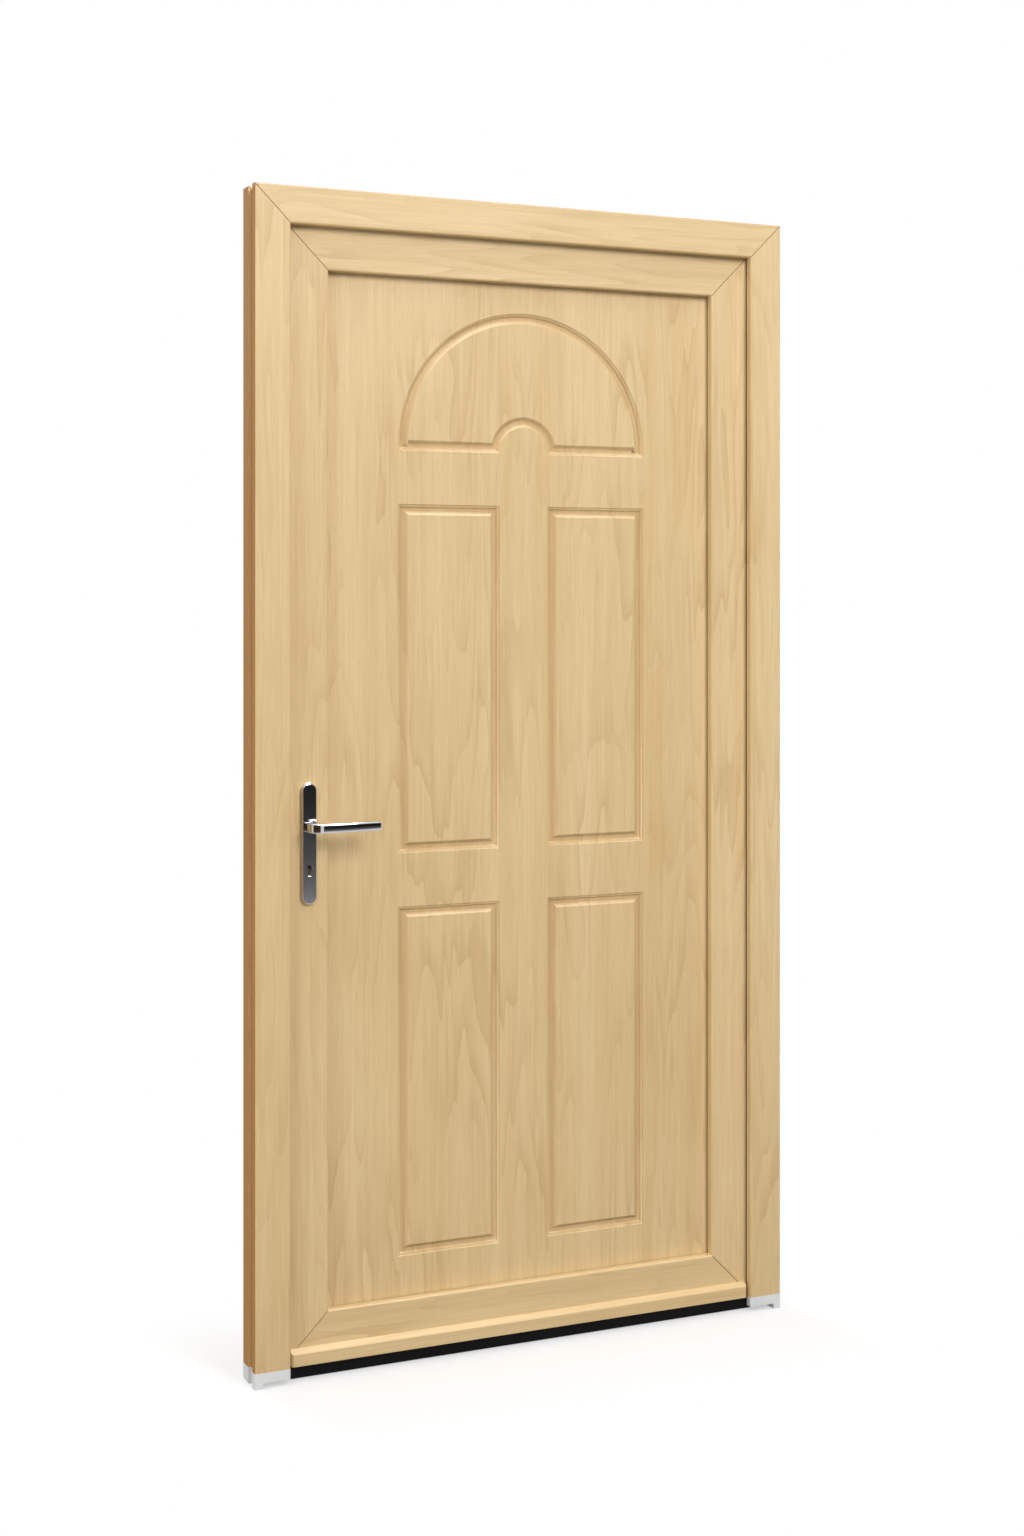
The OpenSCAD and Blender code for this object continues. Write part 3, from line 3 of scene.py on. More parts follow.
import bmesh
import bpy
from bpy.props import FloatProperty, FloatVectorProperty, IntProperty, PointerProperty
from mathutils.geometry import tessellate_polygon
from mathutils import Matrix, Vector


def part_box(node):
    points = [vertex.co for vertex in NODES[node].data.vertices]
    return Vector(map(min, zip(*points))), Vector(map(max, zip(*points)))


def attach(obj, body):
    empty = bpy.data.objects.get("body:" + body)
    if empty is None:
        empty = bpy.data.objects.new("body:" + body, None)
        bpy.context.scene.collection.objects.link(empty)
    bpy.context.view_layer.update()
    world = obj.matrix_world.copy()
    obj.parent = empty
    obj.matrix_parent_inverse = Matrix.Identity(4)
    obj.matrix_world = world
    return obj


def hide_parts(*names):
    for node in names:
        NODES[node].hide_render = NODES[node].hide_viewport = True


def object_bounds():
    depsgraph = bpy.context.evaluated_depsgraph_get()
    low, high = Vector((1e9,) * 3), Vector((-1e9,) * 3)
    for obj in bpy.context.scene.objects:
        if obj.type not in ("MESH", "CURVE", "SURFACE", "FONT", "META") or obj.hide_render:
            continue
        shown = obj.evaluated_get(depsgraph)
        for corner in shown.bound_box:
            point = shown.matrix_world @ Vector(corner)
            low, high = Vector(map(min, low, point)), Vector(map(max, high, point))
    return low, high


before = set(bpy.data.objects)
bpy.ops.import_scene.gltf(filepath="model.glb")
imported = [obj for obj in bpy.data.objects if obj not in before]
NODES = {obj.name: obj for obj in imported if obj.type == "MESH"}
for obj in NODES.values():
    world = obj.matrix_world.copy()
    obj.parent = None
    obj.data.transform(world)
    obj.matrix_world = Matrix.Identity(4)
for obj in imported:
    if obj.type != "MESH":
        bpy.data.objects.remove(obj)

bl_info = {
    "name": "Panelled Front Door",
    "version": (1, 0, 0),
    "blender": (4, 5, 0),
    "location": "View3D > Sidebar > Front Door",
    "description": "Finishes and fine pieces of a panelled front door in its frame",
    "category": "Add Mesh",
}

CAD_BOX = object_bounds()
# Angle from which an edge stays sharp, on meshes made here and on screws
CREASE, SCREW_CREASE = math.radians(38), math.radians(30)


def linear(red, green, blue):
    """Linear colour from the 0 to 255 numbers of a colour chart."""
    def part(value):
        v = value / 255
        return v / 12.92 if v <= 0.04045 else ((v + 0.055) / 1.055) ** 2.4
    return part(red), part(green), part(blue)


def amount(name, description, default, unit="NONE"):
    """A number from 0 up that a user may change."""
    return FloatProperty(name=name, description=description, default=default, min=0, unit=unit)


def length(name, description, default):
    """A length in metres that a user may change."""
    return amount(name, description, default, "LENGTH")


def power(name, description, default):
    """A lamp's power in watts that a user may change."""
    return amount(name, description, default, "POWER")


def colour(name, description, default):
    """A colour that a user may change."""
    return FloatVectorProperty(name=name, description=description, default=default,
                               subtype="COLOR", size=3, min=0, max=1)


# Sizes and colours

class FrontDoorPanelSizes(bpy.types.PropertyGroup):
    """Sizes of the moulded panel's pattern"""
    groove_width: length("Groove width", "Width of the moulded groove", 0.0184)
    groove_depth: length("Groove depth", "Depth of the moulded groove", 0.006)
    arch_radius: length("Arch radius", "Radius of the arch, and half the pattern's width", 0.249)
    arch_height: length("Arch height", "Height of the arch's centre", 1.655)
    arch_stilt: length("Arch stilt", "Straight part under the arch", 0.010)
    hub_radius: length("Hub radius", "Radius of the half round, and half the middle gap", 0.049)
    field_foot: length("Field foot", "Height of the lower fields' bottom edge", 0.1875)
    field_height: length("Field height", "Height of one rectangular field", 0.63075)
    field_gap: length("Field gap", "Distance between the fields", 0.098)
    arch_steps: IntProperty(name="Arch steps", description="Segments round the arch",
                            default=128, min=16)


class FrontDoorHandleSizes(bpy.types.PropertyGroup):
    """Sizes of the lever handles and their plates"""
    axis_x: FloatProperty(name="Axis place", default=-0.426, unit="LENGTH",
                          description="Place of the lever's axis across the door")
    axis_height: length("Axis height", "Height of the lever's axis", 0.974)
    leaf_face: length("Leaf face", "Distance of the leaf's faces from its middle", 0.035)
    plate_middle: length("Plate middle", "Height of the plate's middle", 0.944)
    plate_height: length("Plate height", "Height of the plate", 0.215)
    plate_width: length("Plate width", "Width of the plate", 0.029)
    plate_thickness: length("Plate thickness", "Thickness of the plate", 0.008)
    plate_bevel: length("Plate bevel", "Width of the bevel round the plate", 0.0025)
    neck_radius: length("Neck radius", "Radius of the lever's neck", 0.0085)
    neck_rounding: length("Neck rounding", "Rounding of the neck's edges outside the plate", 0.0026)
    neck_gap: length("Neck gap", "Gap between the neck and the plate", 0.00005)
    bend_radius: length("Bend radius", "Radius of the lever's bend", 0.014)
    lever_reach: length("Lever reach", "Length of the lever from its axis", 0.123)
    lever_out: length("Lever stand-off", "Distance of the grip's middle from the leaf", 0.0455)
    grip_height: length("Grip height", "Height of the lever's grip", 0.0165)
    grip_thickness: length("Grip thickness", "Thickness of the lever's grip", 0.009)
    grip_rounding: length("Grip rounding", "Rounding of the grip's upper edges", 0.0038)
    low_rounding: length("Lower rounding", "Rounding of the lever's lower edges", 0.0016)
    bow_radius: length("Bow radius", "Radius of the grip's bow", 0.9)
    key_height: length("Key height", "Height of the key's axis", 0.902)
    keyhole_radius: length("Keyhole radius", "Radius of the keyhole's round top", 0.0045)
    keyhole_drop: length("Keyhole drop", "Depth of the keyhole under the key's axis", 0.015)
    post_radius: length("Post radius", "Radius of the plate's screw posts", 0.005)
    post_length: length("Post length", "Length of the plate's screw posts", 0.024)
    screw_radius: length("Screw radius", "Radius of the screws through the plates", 0.0025)
    screw_span: length("Screw span", "Distance between the two screws", 0.17875)
    head_radius: length("Screw head radius", "Radius of the screws' heads", 0.0044)
    head_height: length("Screw head height", "Height of the screws' heads", 0.0026)


class FrontDoorColours(bpy.types.PropertyGroup):
    """Colours of the door's finishes"""
    foil_light: colour("Foil, light", "Light wood of the foil", linear(232, 205, 157))
    foil_dark: colour("Foil, dark", "Dark wood of the foil", linear(217, 185, 131))
    # The vein colour also paints shade into the floor of the panel's grooves
    foil_vein_and_shade: colour("Foil, vein", "Veins and pores of the foil", linear(184, 142, 88))
    core: colour("Profile core", "Bare plastic on the wall side of the frame", linear(192, 138, 78))
    seam: colour("Weld seam", "Coloured weld seams across the corners", linear(92, 58, 26))
    rubber: colour("Rubber", "Gaskets and seals", linear(14, 13, 12))
    block: colour("End block", "Pale end blocks under the jambs", linear(238, 238, 237))
    base: colour("Threshold", "Black plastic of the threshold", linear(8, 8, 9))
    tread: colour("Tread", "Aluminium of the tread", linear(205, 207, 209))
    enamel: colour("Hinge enamel", "Powder coat of the hinges", linear(240, 239, 235))
    zinc: colour("Zinc", "Plated steel of lock, keep and screws", linear(196, 198, 201))
    chrome: colour("Chrome", "Polished metal of the handles", linear(210, 210, 214))


class FrontDoorStage(bpy.types.PropertyGroup):
    """Light and camera"""
    even_light: amount("Even light", "Strength of the light from all round", 0.2)
    top_light: amount("Top light", "Strength that the light gains towards the top", 0.5)
    lamp_size: length("Lamp size", "Width of each soft lamp", 2.8)
    key_power: power("Key lamp", "Power of the lamp in front of the door", 252)
    top_power: power("Top lamp", "Power of the lamp over the door", 45)
    fill_power: power("Fill lamp", "Power of the weak lamp on the lock side", 58)
    back_power: power("Back lamp", "Power of the lamp on the inside", 210)
    sheen_power: power("Sheen lamp", "Power of the lamp that only gloss shows", 650)
    lens: FloatProperty(name="Lens", description="Focal length", default=49.82, min=1,
                        unit="CAMERA")


# Small helpers

def new_object(name, data):
    """An object in the scene."""
    made = bpy.data.objects.new(name, data)
    bpy.context.scene.collection.objects.link(made)
    return made


def finish_mesh(name, shell, finish, body, merge=1e-6):
    """A closed piece at the origin, its faces outwards, riding on a body."""
    mesh = bpy.data.meshes.new(name)
    mesh.from_pydata(shell.verts, [], shell.faces)
    mesh.polygons.foreach_set("use_smooth", shell.smooth)
    bm = bmesh.new()
    bm.from_mesh(mesh)
    bmesh.ops.remove_doubles(bm, verts=bm.verts, dist=merge)
    bmesh.ops.recalc_face_normals(bm, faces=bm.faces)
    for edge in bm.edges:
        flats = [not face.smooth for face in edge.link_faces]
        edge.smooth = not any(flats) and edge.calc_face_angle(0) < CREASE
    for face in bm.faces:
        face.smooth = True
    bm.to_mesh(mesh)
    bm.free()
    mesh.materials.append(FINISHES[finish])
    piece = new_object(name, mesh)
    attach(piece, body)
    return piece


class Shell:
    """Collects loops of points into a closed mesh."""

    def __init__(self):
        self.verts, self.faces, self.smooth = [], [], []

    def loop(self, points):
        """Adds points and gives their numbers."""
        start = len(self.verts)
        self.verts.extend(points)
        return list(range(start, start + len(points)))

    def bridge(self, one, two, smooth=True):
        """Quads between two loops of the same count."""
        n = len(one)
        for i in range(n):
            j = (i + 1) % n
            self.faces.append((one[i], one[j], two[j], two[i]))
            self.smooth.append(smooth)

    def tube(self, loops):
        """Smooth wall through a row of loops."""
        for one, two in zip(loops, loops[1:]):
            self.bridge(one, two)

    def fill(self, outline, holes=(), smooth=False):
        """Flat face inside an outline, with holes."""
        rings = [outline, *holes]
        flat = [i for ring in rings for i in ring]
        for tri in tessellate_polygon([[self.verts[i] for i in ring] for ring in rings]):
            self.faces.append(tuple(flat[i] for i in tri))
            self.smooth.append(smooth)


def bare_tree(owner):
    """The emptied node tree of a material or a world."""
    owner.use_nodes = True
    owner.node_tree.nodes.clear()
    return owner.node_tree


def sheet(name):
    """A material with one principled shader."""
    material = bpy.data.materials.new(name)
    tree = bare_tree(material)
    shader = add(tree, "ShaderNodeBsdfPrincipled")
    add(tree, "ShaderNodeOutputMaterial", {"Surface": shader.outputs["BSDF"]})
    return material, tree, shader


def add(tree, kind, inputs=None, **settings):
    """A node whose inputs are numbers or other nodes' sockets."""
    made = tree.nodes.new(kind)
    for key, value in settings.items():
        setattr(made, key, value)
    for key, value in (inputs or {}).items():
        if isinstance(value, bpy.types.NodeSocket):
            tree.links.new(value, made.inputs[key])
        else:
            made.inputs[key].default_value = value
    return made


def axes(tree, space="Object"):
    """X, Y and Z of the point shown, or of its normal."""
    coords = add(tree, "ShaderNodeTexCoord")
    return add(tree, "ShaderNodeSeparateXYZ", {"Vector": coords.outputs[space]}).outputs


def place(tree, scale, shift):
    """Object coordinates, scaled and shifted for a pattern."""
    coords = add(tree, "ShaderNodeTexCoord")
    return add(tree, "ShaderNodeMapping", {"Vector": coords.outputs["Object"], "Scale": scale,
                                           "Location": shift}).outputs["Vector"]


def noise(tree, scale, detail, roughness, distortion=0, shift=(0, 0, 0)):
    """Soft noise with a scale for each axis."""
    return add(tree, "ShaderNodeTexNoise", {
        "Vector": place(tree, scale, shift), "Scale": 1, "Detail": detail, "Roughness": roughness,
        "Distortion": distortion}).outputs["Fac"]


def ramp(tree, value, *stops):
    """Greys from a value: pairs of place and grey."""
    made = add(tree, "ShaderNodeValToRGB", {"Fac": value})
    marks = made.color_ramp.elements
    while len(marks) < len(stops):
        marks.new(0.5)
    for mark, (spot, grey) in zip(marks, stops):
        mark.position = spot
        mark.color = (grey, grey, grey, 1)
    return made.outputs["Color"]


def math_node(tree, operation, one, two=0.0):
    """Result of an operation on one or two numbers."""
    return add(tree, "ShaderNodeMath", {0: one, 1: two}, operation=operation).outputs[0]


def times(tree, one, two):
    """Product of two numbers."""
    return math_node(tree, "MULTIPLY", one, two)


def size_of(tree, value):
    """A number without its sign."""
    return math_node(tree, "ABSOLUTE", value)


def weighed(tree, *pairs):
    """Sum of values, each times its share."""
    parts = [times(tree, value, share) for value, share in pairs]
    whole = parts[0]
    for part in parts[1:]:
        whole = math_node(tree, "ADD", whole, part)
    return whole


def spread(tree, value, low, high, start=0.0, end=1.0, **settings):
    """Number that goes from low to high while a value goes from start to end."""
    return add(tree, "ShaderNodeMapRange", {
        "Value": value, "From Min": start, "From Max": end, "To Min": low, "To Max": high},
        **settings).outputs[0]


def blend(tree, factor, *tints):
    """Colour between two colours."""
    one, two = (tint if isinstance(tint, bpy.types.NodeSocket) else (*tint, 1) for tint in tints)
    mixed = add(tree, "ShaderNodeMix", {"Factor": factor, 6: one, 7: two}, data_type="RGBA")
    return mixed.outputs[2]


def bump(tree, shader, height, strength, distance):
    """Fine relief on a shader."""
    made = add(tree, "ShaderNodeBump", {
        "Height": height, "Strength": strength, "Distance": distance})
    tree.links.new(made.outputs["Normal"], shader.inputs["Normal"])


# Finishes

# Wood grain: scale across the grain and along it, detail, roughness, distortion, turn of the shift
GRAIN = {
    "sway": (15, 1.5, 2, 0.5, 0.4, 0),
    "jag": (190, 16, 3, 0.6, 0, 0),
    "patch": (9, 3.4, 2, 0.5, 0, 1),
    "band": (24, 0.6, 3, 0.55, 0, 0),
    "fibre": (210, 6, 4, 0.68, 0.35, 0),
    "pore": (620, 30, 2, 0.5, 0, 0),
    "fleck": (300, 90, 1, 0.5, 0, 2),
    "cloud": (3.4, 1.6, 3, 0.5, 0, 0),
}
# Growth rings: how many in a metre along the grain, and how far sway and jag move them
RING_CLIMB, RING_SWAY, RING_JAG = 3.2, 7.0, 0.16
# Shares of the patterns that mix the foil's light and dark
BAND_SHARE, FIBRE_SHARE, CLOUD_SHARE = 0.36, 0.4, 0.24
# How much of each layer over that mix shows; the groove layer is painted shade
FLAME_SHARE, PORE_SHARE, FLECK_SHARE, GROOVE_SHADE_SHARE, SEAM_SHARE = 0.34, 0.26, 0.3, 0.3, 0.85
FOIL_ROUGH, FOIL_GLOSS, BARE_ROUGH = (0.38, 0.52), 0.4, 0.85
# Share of the plastic core's colour in its darker clouds
CORE_DEEP = 0.86
# Width of the strip that the wall hides, half width of a weld seam, depth at which the painted
# shade in a groove starts
WALL_STRIP, SEAM, SHADE_START = 0.025, 0.0009, 0.0002
# Clouds in plastic and metal: scale, roughness, share of the colour that stays
PLASTIC_CLOUD, METAL_CLOUD = (14, 0.5, 0.93), (22, 0.55, 0.88)
# Depth of the fine relief
FOIL_RELIEF, PLASTIC_RELIEF, METAL_RELIEF = 0.0004, 0.0002, 0.0001


def wall_side(tree):
    """1 on the faces that the wall hides: the frame's outer sides and top."""
    spot, facing = axes(tree), axes(tree, "Normal")
    high = CAD_BOX[1]

    def outer(value, turn, edge):
        return times(tree, math_node(tree, "GREATER_THAN", value, edge - WALL_STRIP),
                     math_node(tree, "GREATER_THAN", turn, 0.5))

    side = outer(size_of(tree, spot["X"]), size_of(tree, facing["X"]), high[0])
    return math_node(tree, "MAXIMUM", side, outer(spot["Z"], facing["Z"], high[2]))


def corner_seams(tree):
    """1 on the weld seams that run at 45 degrees across the corners of the frame and the leaf."""
    spot, facing = axes(tree), axes(tree, "Normal")
    across, up = size_of(tree, spot["X"]), spot["Z"]
    high, foot = CAD_BOX[1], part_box("sash_bottom_rail")
    middle = high[2] / 2
    on_leaf = math_node(tree, "GREATER_THAN", spot["Y"], foot[0][1] - SEAM)
    seams = []
    for slope, reach, half, part in (("SUBTRACT", high[0] - high[2], "GREATER_THAN", 1.0),
                                     ("ADD", foot[1][0] + foot[0][2], "LESS_THAN", on_leaf)):
        off = math_node(tree, "SUBTRACT", math_node(tree, slope, across, up), reach)
        near = times(tree, math_node(tree, "LESS_THAN", size_of(tree, off), SEAM), part)
        seams.append(times(tree, near, math_node(tree, half, up, middle)))
    flat = math_node(tree, "GREATER_THAN", size_of(tree, facing["Y"]), 0.9)
    return times(tree, math_node(tree, "MAXIMUM", *seams), flat)


def groove_depth(tree, most):
    """Painted shade: 0 on the panel's faces, 1 at the floor of its grooves, so the foil darkens
    with depth.
    """
    low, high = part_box("door_panel")
    middle, half = (low[1] + high[1]) / 2, (high[1] - low[1]) / 2
    off = size_of(tree, math_node(tree, "SUBTRACT", axes(tree)["Y"], middle))
    return spread(tree, math_node(tree, "SUBTRACT", half, off), 0.0, 1.0, SHADE_START, most)


def foil_finish(name, colours, along, shift, seamed=True, shade_depth=0):
    """Wood-grain foil whose grain runs along X or Z, with painted shade that darkens its grooves
    down to a given depth.
    """
    material, tree, shader = sheet(name)

    def grain(kind):
        across, lengthways, detail, rough, twist, roll = GRAIN[kind]
        scale = (lengthways, across, across) if along == "X" else (across, across, lengthways)
        return noise(tree, scale, detail, rough, twist, shift[roll:] + shift[:roll])

    spot = add(tree, "ShaderNodeSeparateXYZ", {"Vector": place(tree, (1, 1, 1), shift)}).outputs
    rings = weighed(tree, (spot[along], RING_CLIMB), (grain("sway"), RING_SWAY),
                    (grain("jag"), RING_JAG))
    flame = ramp(tree, math_node(tree, "FRACT", rings),
                 (0, 1.0), (0.12, 0.72), (0.55, 0.1), (0.975, 0.0), (1.0, 1.0))
    flame = times(tree, flame, ramp(tree, grain("patch"), (0.4, 0.12), (0.62, 1)))
    band, fibre, cloud = grain("band"), grain("fibre"), grain("cloud")
    pore = ramp(tree, grain("pore"), (0.64, 0), (0.74, 1))
    fleck = ramp(tree, grain("fleck"), (0.68, 0), (0.78, 1))
    tone = weighed(tree, (band, BAND_SHARE), (fibre, FIBRE_SHARE), (cloud, CLOUD_SHARE))
    tone = ramp(tree, tone, (0.36, 0), (0.64, 1))
    wood = blend(tree, tone, colours.foil_light, colours.foil_dark)
    core = blend(tree, cloud, colours.core, tuple(c * CORE_DEEP for c in colours.core))
    bare = wall_side(tree)
    layers = [(flame, FLAME_SHARE, colours.foil_vein_and_shade), (pore, PORE_SHARE, colours.foil_vein_and_shade),
              (fleck, FLECK_SHARE, colours.foil_light), (bare, 1.0, core)]
    # Painted shade: the foil darkens towards the floor of the panel's grooves
    if shade_depth:
        layers.append((groove_depth(tree, shade_depth), GROOVE_SHADE_SHARE, colours.foil_vein_and_shade))
    if seamed:
        layers.append((corner_seams(tree), SEAM_SHARE, colours.seam))
    for cover, share, tint in layers:
        wood = blend(tree, times(tree, cover, share), wood, tint)
    tree.links.new(wood, shader.inputs["Base Color"])
    rough = math_node(tree, "MAXIMUM", spread(tree, fibre, *FOIL_ROUGH),
                      times(tree, bare, BARE_ROUGH))
    tree.links.new(rough, shader.inputs["Roughness"])
    shader.inputs["Specular IOR Level"].default_value = FOIL_GLOSS
    bump(tree, shader, math_node(tree, "SUBTRACT", fibre, times(tree, pore, 0.5)), 0.1, FOIL_RELIEF)
    return material


def clouded(tree, shader, base, scale, roughness, deep):
    """Colours a shader, a little darker in soft clouds."""
    cloud = ramp(tree, noise(tree, (scale,) * 3, 3, roughness), (0.3, 0), (0.7, 1))
    tint = blend(tree, cloud, base, tuple(c * deep for c in base))
    tree.links.new(tint, shader.inputs["Base Color"])


def moulded_finish(name, base, rough, grain=2200, strength=0.08, gloss=0.5):
    """Moulded plastic, rubber or powder coat with a fine skin."""
    material, tree, shader = sheet(name)
    clouded(tree, shader, base, *PLASTIC_CLOUD)
    skin = noise(tree, (grain,) * 3, 2, 0.5)
    tree.links.new(spread(tree, skin, rough - 0.06, rough + 0.06), shader.inputs["Roughness"])
    shader.inputs["Specular IOR Level"].default_value = gloss
    bump(tree, shader, skin, strength, PLASTIC_RELIEF)
    return material


def metal_finish(name, base, rough, brush, strength=0.06):
    """Metal with fine drawn lines; brush gives the lines' scale along each axis."""
    material, tree, shader = sheet(name)
    clouded(tree, shader, base, *METAL_CLOUD)
    lines = noise(tree, brush, 3, 0.6)
    tree.links.new(spread(tree, lines, rough * 0.75, rough * 1.25), shader.inputs["Roughness"])
    shader.inputs["Metallic"].default_value = 1
    bump(tree, shader, lines, strength, METAL_RELIEF)
    return material


FINISHES = {}


def make_finishes(colours):
    """Every finish of the door, by name."""
    FINISHES.update(
        foil_z=foil_finish("foil_upright", colours, "Z", (0.3, 1.7, 0.4)),
        foil_x=foil_finish("foil_level", colours, "X", (2.1, 0.6, 3.2)),
        foil_bar=foil_finish("foil_drip_bar", colours, "X", (5.7, 1.1, 0.8), seamed=False),
        # The panel's foil carries painted shade, full at the grooves' 6 mm floor
        panel=foil_finish("foil_panel", colours, "Z", (4.2, 2.9, 1.6), seamed=False,
                          shade_depth=0.006),
        rubber=moulded_finish("rubber", colours.rubber, 0.7, 900, 0.12, gloss=0.2),
        block=moulded_finish("end_block_plastic", colours.block, 0.45),
        base=moulded_finish("threshold_plastic", colours.base, 0.6, gloss=0.12),
        enamel=moulded_finish("hinge_enamel", colours.enamel, 0.36, 1600, 0.1),
        tread=metal_finish("tread_aluminium", colours.tread, 0.34, (6, 900, 900)),
        zinc=metal_finish("plated_steel", colours.zinc, 0.32, (420, 420, 30)),
        screw=metal_finish("screw_steel", colours.zinc, 0.28, (900, 900, 900)),
        chrome=metal_finish("dark_chrome", colours.chrome, 0.09, (1400, 1400, 60), 0.01),
    )


def dress(finish, *names):
    """Puts a finish on CAD nodes."""
    for name in names:
        node = NODES[name]
        if not node.material_slots:
            node.data.materials.append(FINISHES[finish])
        for slot in node.material_slots:
            slot.material = FINISHES[finish]


# Moulded panel

# Groove's section: share of its width from the outer edge, share of its depth
GROOVE = ((-0.03, 0), (-0.012, 0.03), (0, 0.2), (0.008, 0.25), (0.025, 0.28), (0.19, 0.44),
          (0.215, 0.49), (0.24, 0.6), (0.3, 0.84), (0.33, 0.92), (0.38, 0.98), (0.45, 1), (0.6, 1),
          (0.645, 0.98), (0.69, 0.9), (0.8, 0.58), (0.9, 0.3), (0.965, 0.115), (0.985, 0.06),
          (1.01, 0.015), (1.04, 0))


def field_outline(x0, x1, z0, z1):
    """Rectangle, pulled in by d."""
    return lambda d: [(x0 + d, z0 + d), (x1 - d, z0 + d), (x1 - d, z1 - d), (x0 + d, z1 - d)]


def arch_outline(s):
    """Arch over a straight foot with a half round in its middle, pulled in by d."""
    foot = s.arch_height - s.arch_stilt

    def outline(d):
        hub = s.hub_radius + d
        start = math.asin(d / hub)
        side = s.arch_radius - d
        points = [(-side, foot + d)]
        steps = s.arch_steps // 3
        for i in range(steps + 1):
            a = math.pi - start - (math.pi - 2 * start) * i / steps
            points.append((hub * math.cos(a), foot + hub * math.sin(a)))
        points.append((side, foot + d))
        for i in range(s.arch_steps + 1):
            a = math.pi * i / s.arch_steps
            points.append((side * math.cos(a), s.arch_height + side * math.sin(a)))
        return points

    return outline


class FRONTDOOR_OT_panel(bpy.types.Operator):
    """Moulded panel with its arch and four fields"""
    bl_idname = "frontdoor.panel"
    bl_label = "Moulded panel"

    def execute(self, context):
        s = context.scene.front_door_panel
        low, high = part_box("door_panel")
        outlines = [arch_outline(s)]
        for z0 in (s.field_foot, s.field_foot + s.field_height + s.field_gap):
            outlines.append(field_outline(-s.arch_radius, -s.hub_radius, z0, z0 + s.field_height))
            outlines.append(field_outline(s.hub_radius, s.arch_radius, z0, z0 + s.field_height))
        shell = Shell()
        edges = []
        for face, inwards in ((low[1], 1), (high[1], -1)):
            edge = shell.loop([(low[0], face, low[2]), (high[0], face, low[2]),
                               (high[0], face, high[2]), (low[0], face, high[2])])
            edges.append(edge)
            holes = []
            for outline in outlines:
                loops = [shell.loop([(x, face + inwards * s.groove_depth * deep, z)
                                     for x, z in outline(share * s.groove_width)])
                         for share, deep in GROOVE]
                shell.tube(loops)
                shell.fill(loops[-1])
                holes.append(loops[0])
            shell.fill(edge, holes)
        shell.bridge(*edges, smooth=False)
        piece = finish_mesh("moulded_panel", shell, "panel", "leaf")
        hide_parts("door_panel")
        return {"FINISHED"}


# Handles

def rounded_section(half_t, half_h, top_r, low_r, steps=9):
    """Rounded rectangle: thickness, then height."""
    points = []
    for cx, cy, start in ((1, 1, 0), (-1, 1, 90), (-1, -1, 180), (1, -1, 270)):
        r = top_r if cy > 0 else low_r
        for i in range(steps):
            a = math.radians(start + 90 * i / (steps - 1))
            points.append((cx * (half_t - r) + r * math.cos(a),
                           cy * (half_h - r) + r * math.sin(a)))
    return points


class FRONTDOOR_OT_levers(bpy.types.Operator):
    """Lever handles, swept from a square neck into a bowed flat grip"""
    bl_idname = "frontdoor.levers"
    bl_label = "Lever handles"

    # Where the neck starts over the leaf
    neck_start = 0.0008
    # Where its round part ends over the plate, where its square part starts and where that is full
    round_end, square_start, square_full = 0.0004, 0.0006, 0.001
    # How far the square part's first edge is drawn in
    square_edge = 0.0004
    # Length of the grip's rounded tip, and the least rounding of its edges there
    tip, least_rounding = 0.0024, 0.0004
    bend_steps, grip_steps, tip_steps = 18, 14, 7

    def stations(self, s):
        """Place along X, distance from the leaf, turn, half thickness, half height and rounding."""
        thin, tall = s.grip_thickness / 2, s.grip_height / 2
        neck, edge = s.neck_radius, s.neck_rounding
        face, bend_start = s.plate_thickness, s.lever_out - s.bend_radius
        first, last = self.neck_start, face + self.round_end
        rows = [(0, first + (last - first) * share, 0, neck, neck, neck) for share in (0, 0.5, 1)]
        rows.append((0, face + self.square_start, 0, neck, tall - self.square_edge, edge))
        first = face + self.square_full
        rows += [(0, first + (bend_start - first) * share, 0, neck, tall, edge)
                 for share in (0, 0.5)]
        for i in range(self.bend_steps + 1):
            share = i / self.bend_steps
            a = math.radians(90) * share
            ease = share * share * (3 - 2 * share)
            half_t = neck + (thin - neck) * ease
            r = edge + (s.grip_rounding - edge) * ease
            rows.append((s.bend_radius * (1 - math.cos(a)),
                         bend_start + s.bend_radius * math.sin(a), a, half_t, tall, min(r, half_t)))
        bow, tip = s.lever_reach - s.bend_radius, self.tip
        marks = [bow * i / self.grip_steps for i in range(1, self.grip_steps)]
        marks += [bow - tip + tip * math.sin(math.radians(90 * i / self.tip_steps))
                  for i in range(self.tip_steps + 1)]
        for mark in marks:
            a = mark / s.bow_radius
            pull = 0
            if mark > bow - tip:
                pull = tip * (1 - math.sqrt(max(0, 1 - ((mark - bow + tip) / tip) ** 2)))
            r = max(s.grip_rounding - pull, self.least_rounding)
            rows.append((s.bend_radius + s.bow_radius * math.sin(a),
                         s.lever_out - s.bow_radius * (1 - math.cos(a)), math.radians(90) + a,
                         thin - pull, tall - pull, r))
        return rows

    def execute(self, context):
        s = context.scene.front_door_handle
        for name, side in (("outer_lever", -1), ("inner_lever", 1)):
            shell = Shell()
            loops = []
            for x, out, turn, half_t, half_h, r in self.stations(s):
                # The neck's round part is as round below as above
                low_r = r if r == s.neck_radius else min(r, s.low_rounding)
                loops.append(shell.loop([
                    (s.axis_x + x - t * math.cos(turn),
                     side * (s.leaf_face + out + t * math.sin(turn)), s.axis_height + h)
                    for t, h in rounded_section(half_t, half_h, r, low_r)]))
            shell.tube(loops)
            shell.fill(loops[0])
            shell.fill(loops[-1], smooth=True)
            piece = finish_mesh(name + "_grip", shell, "chrome", "lever")
            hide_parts(name)
        return {"FINISHED"}


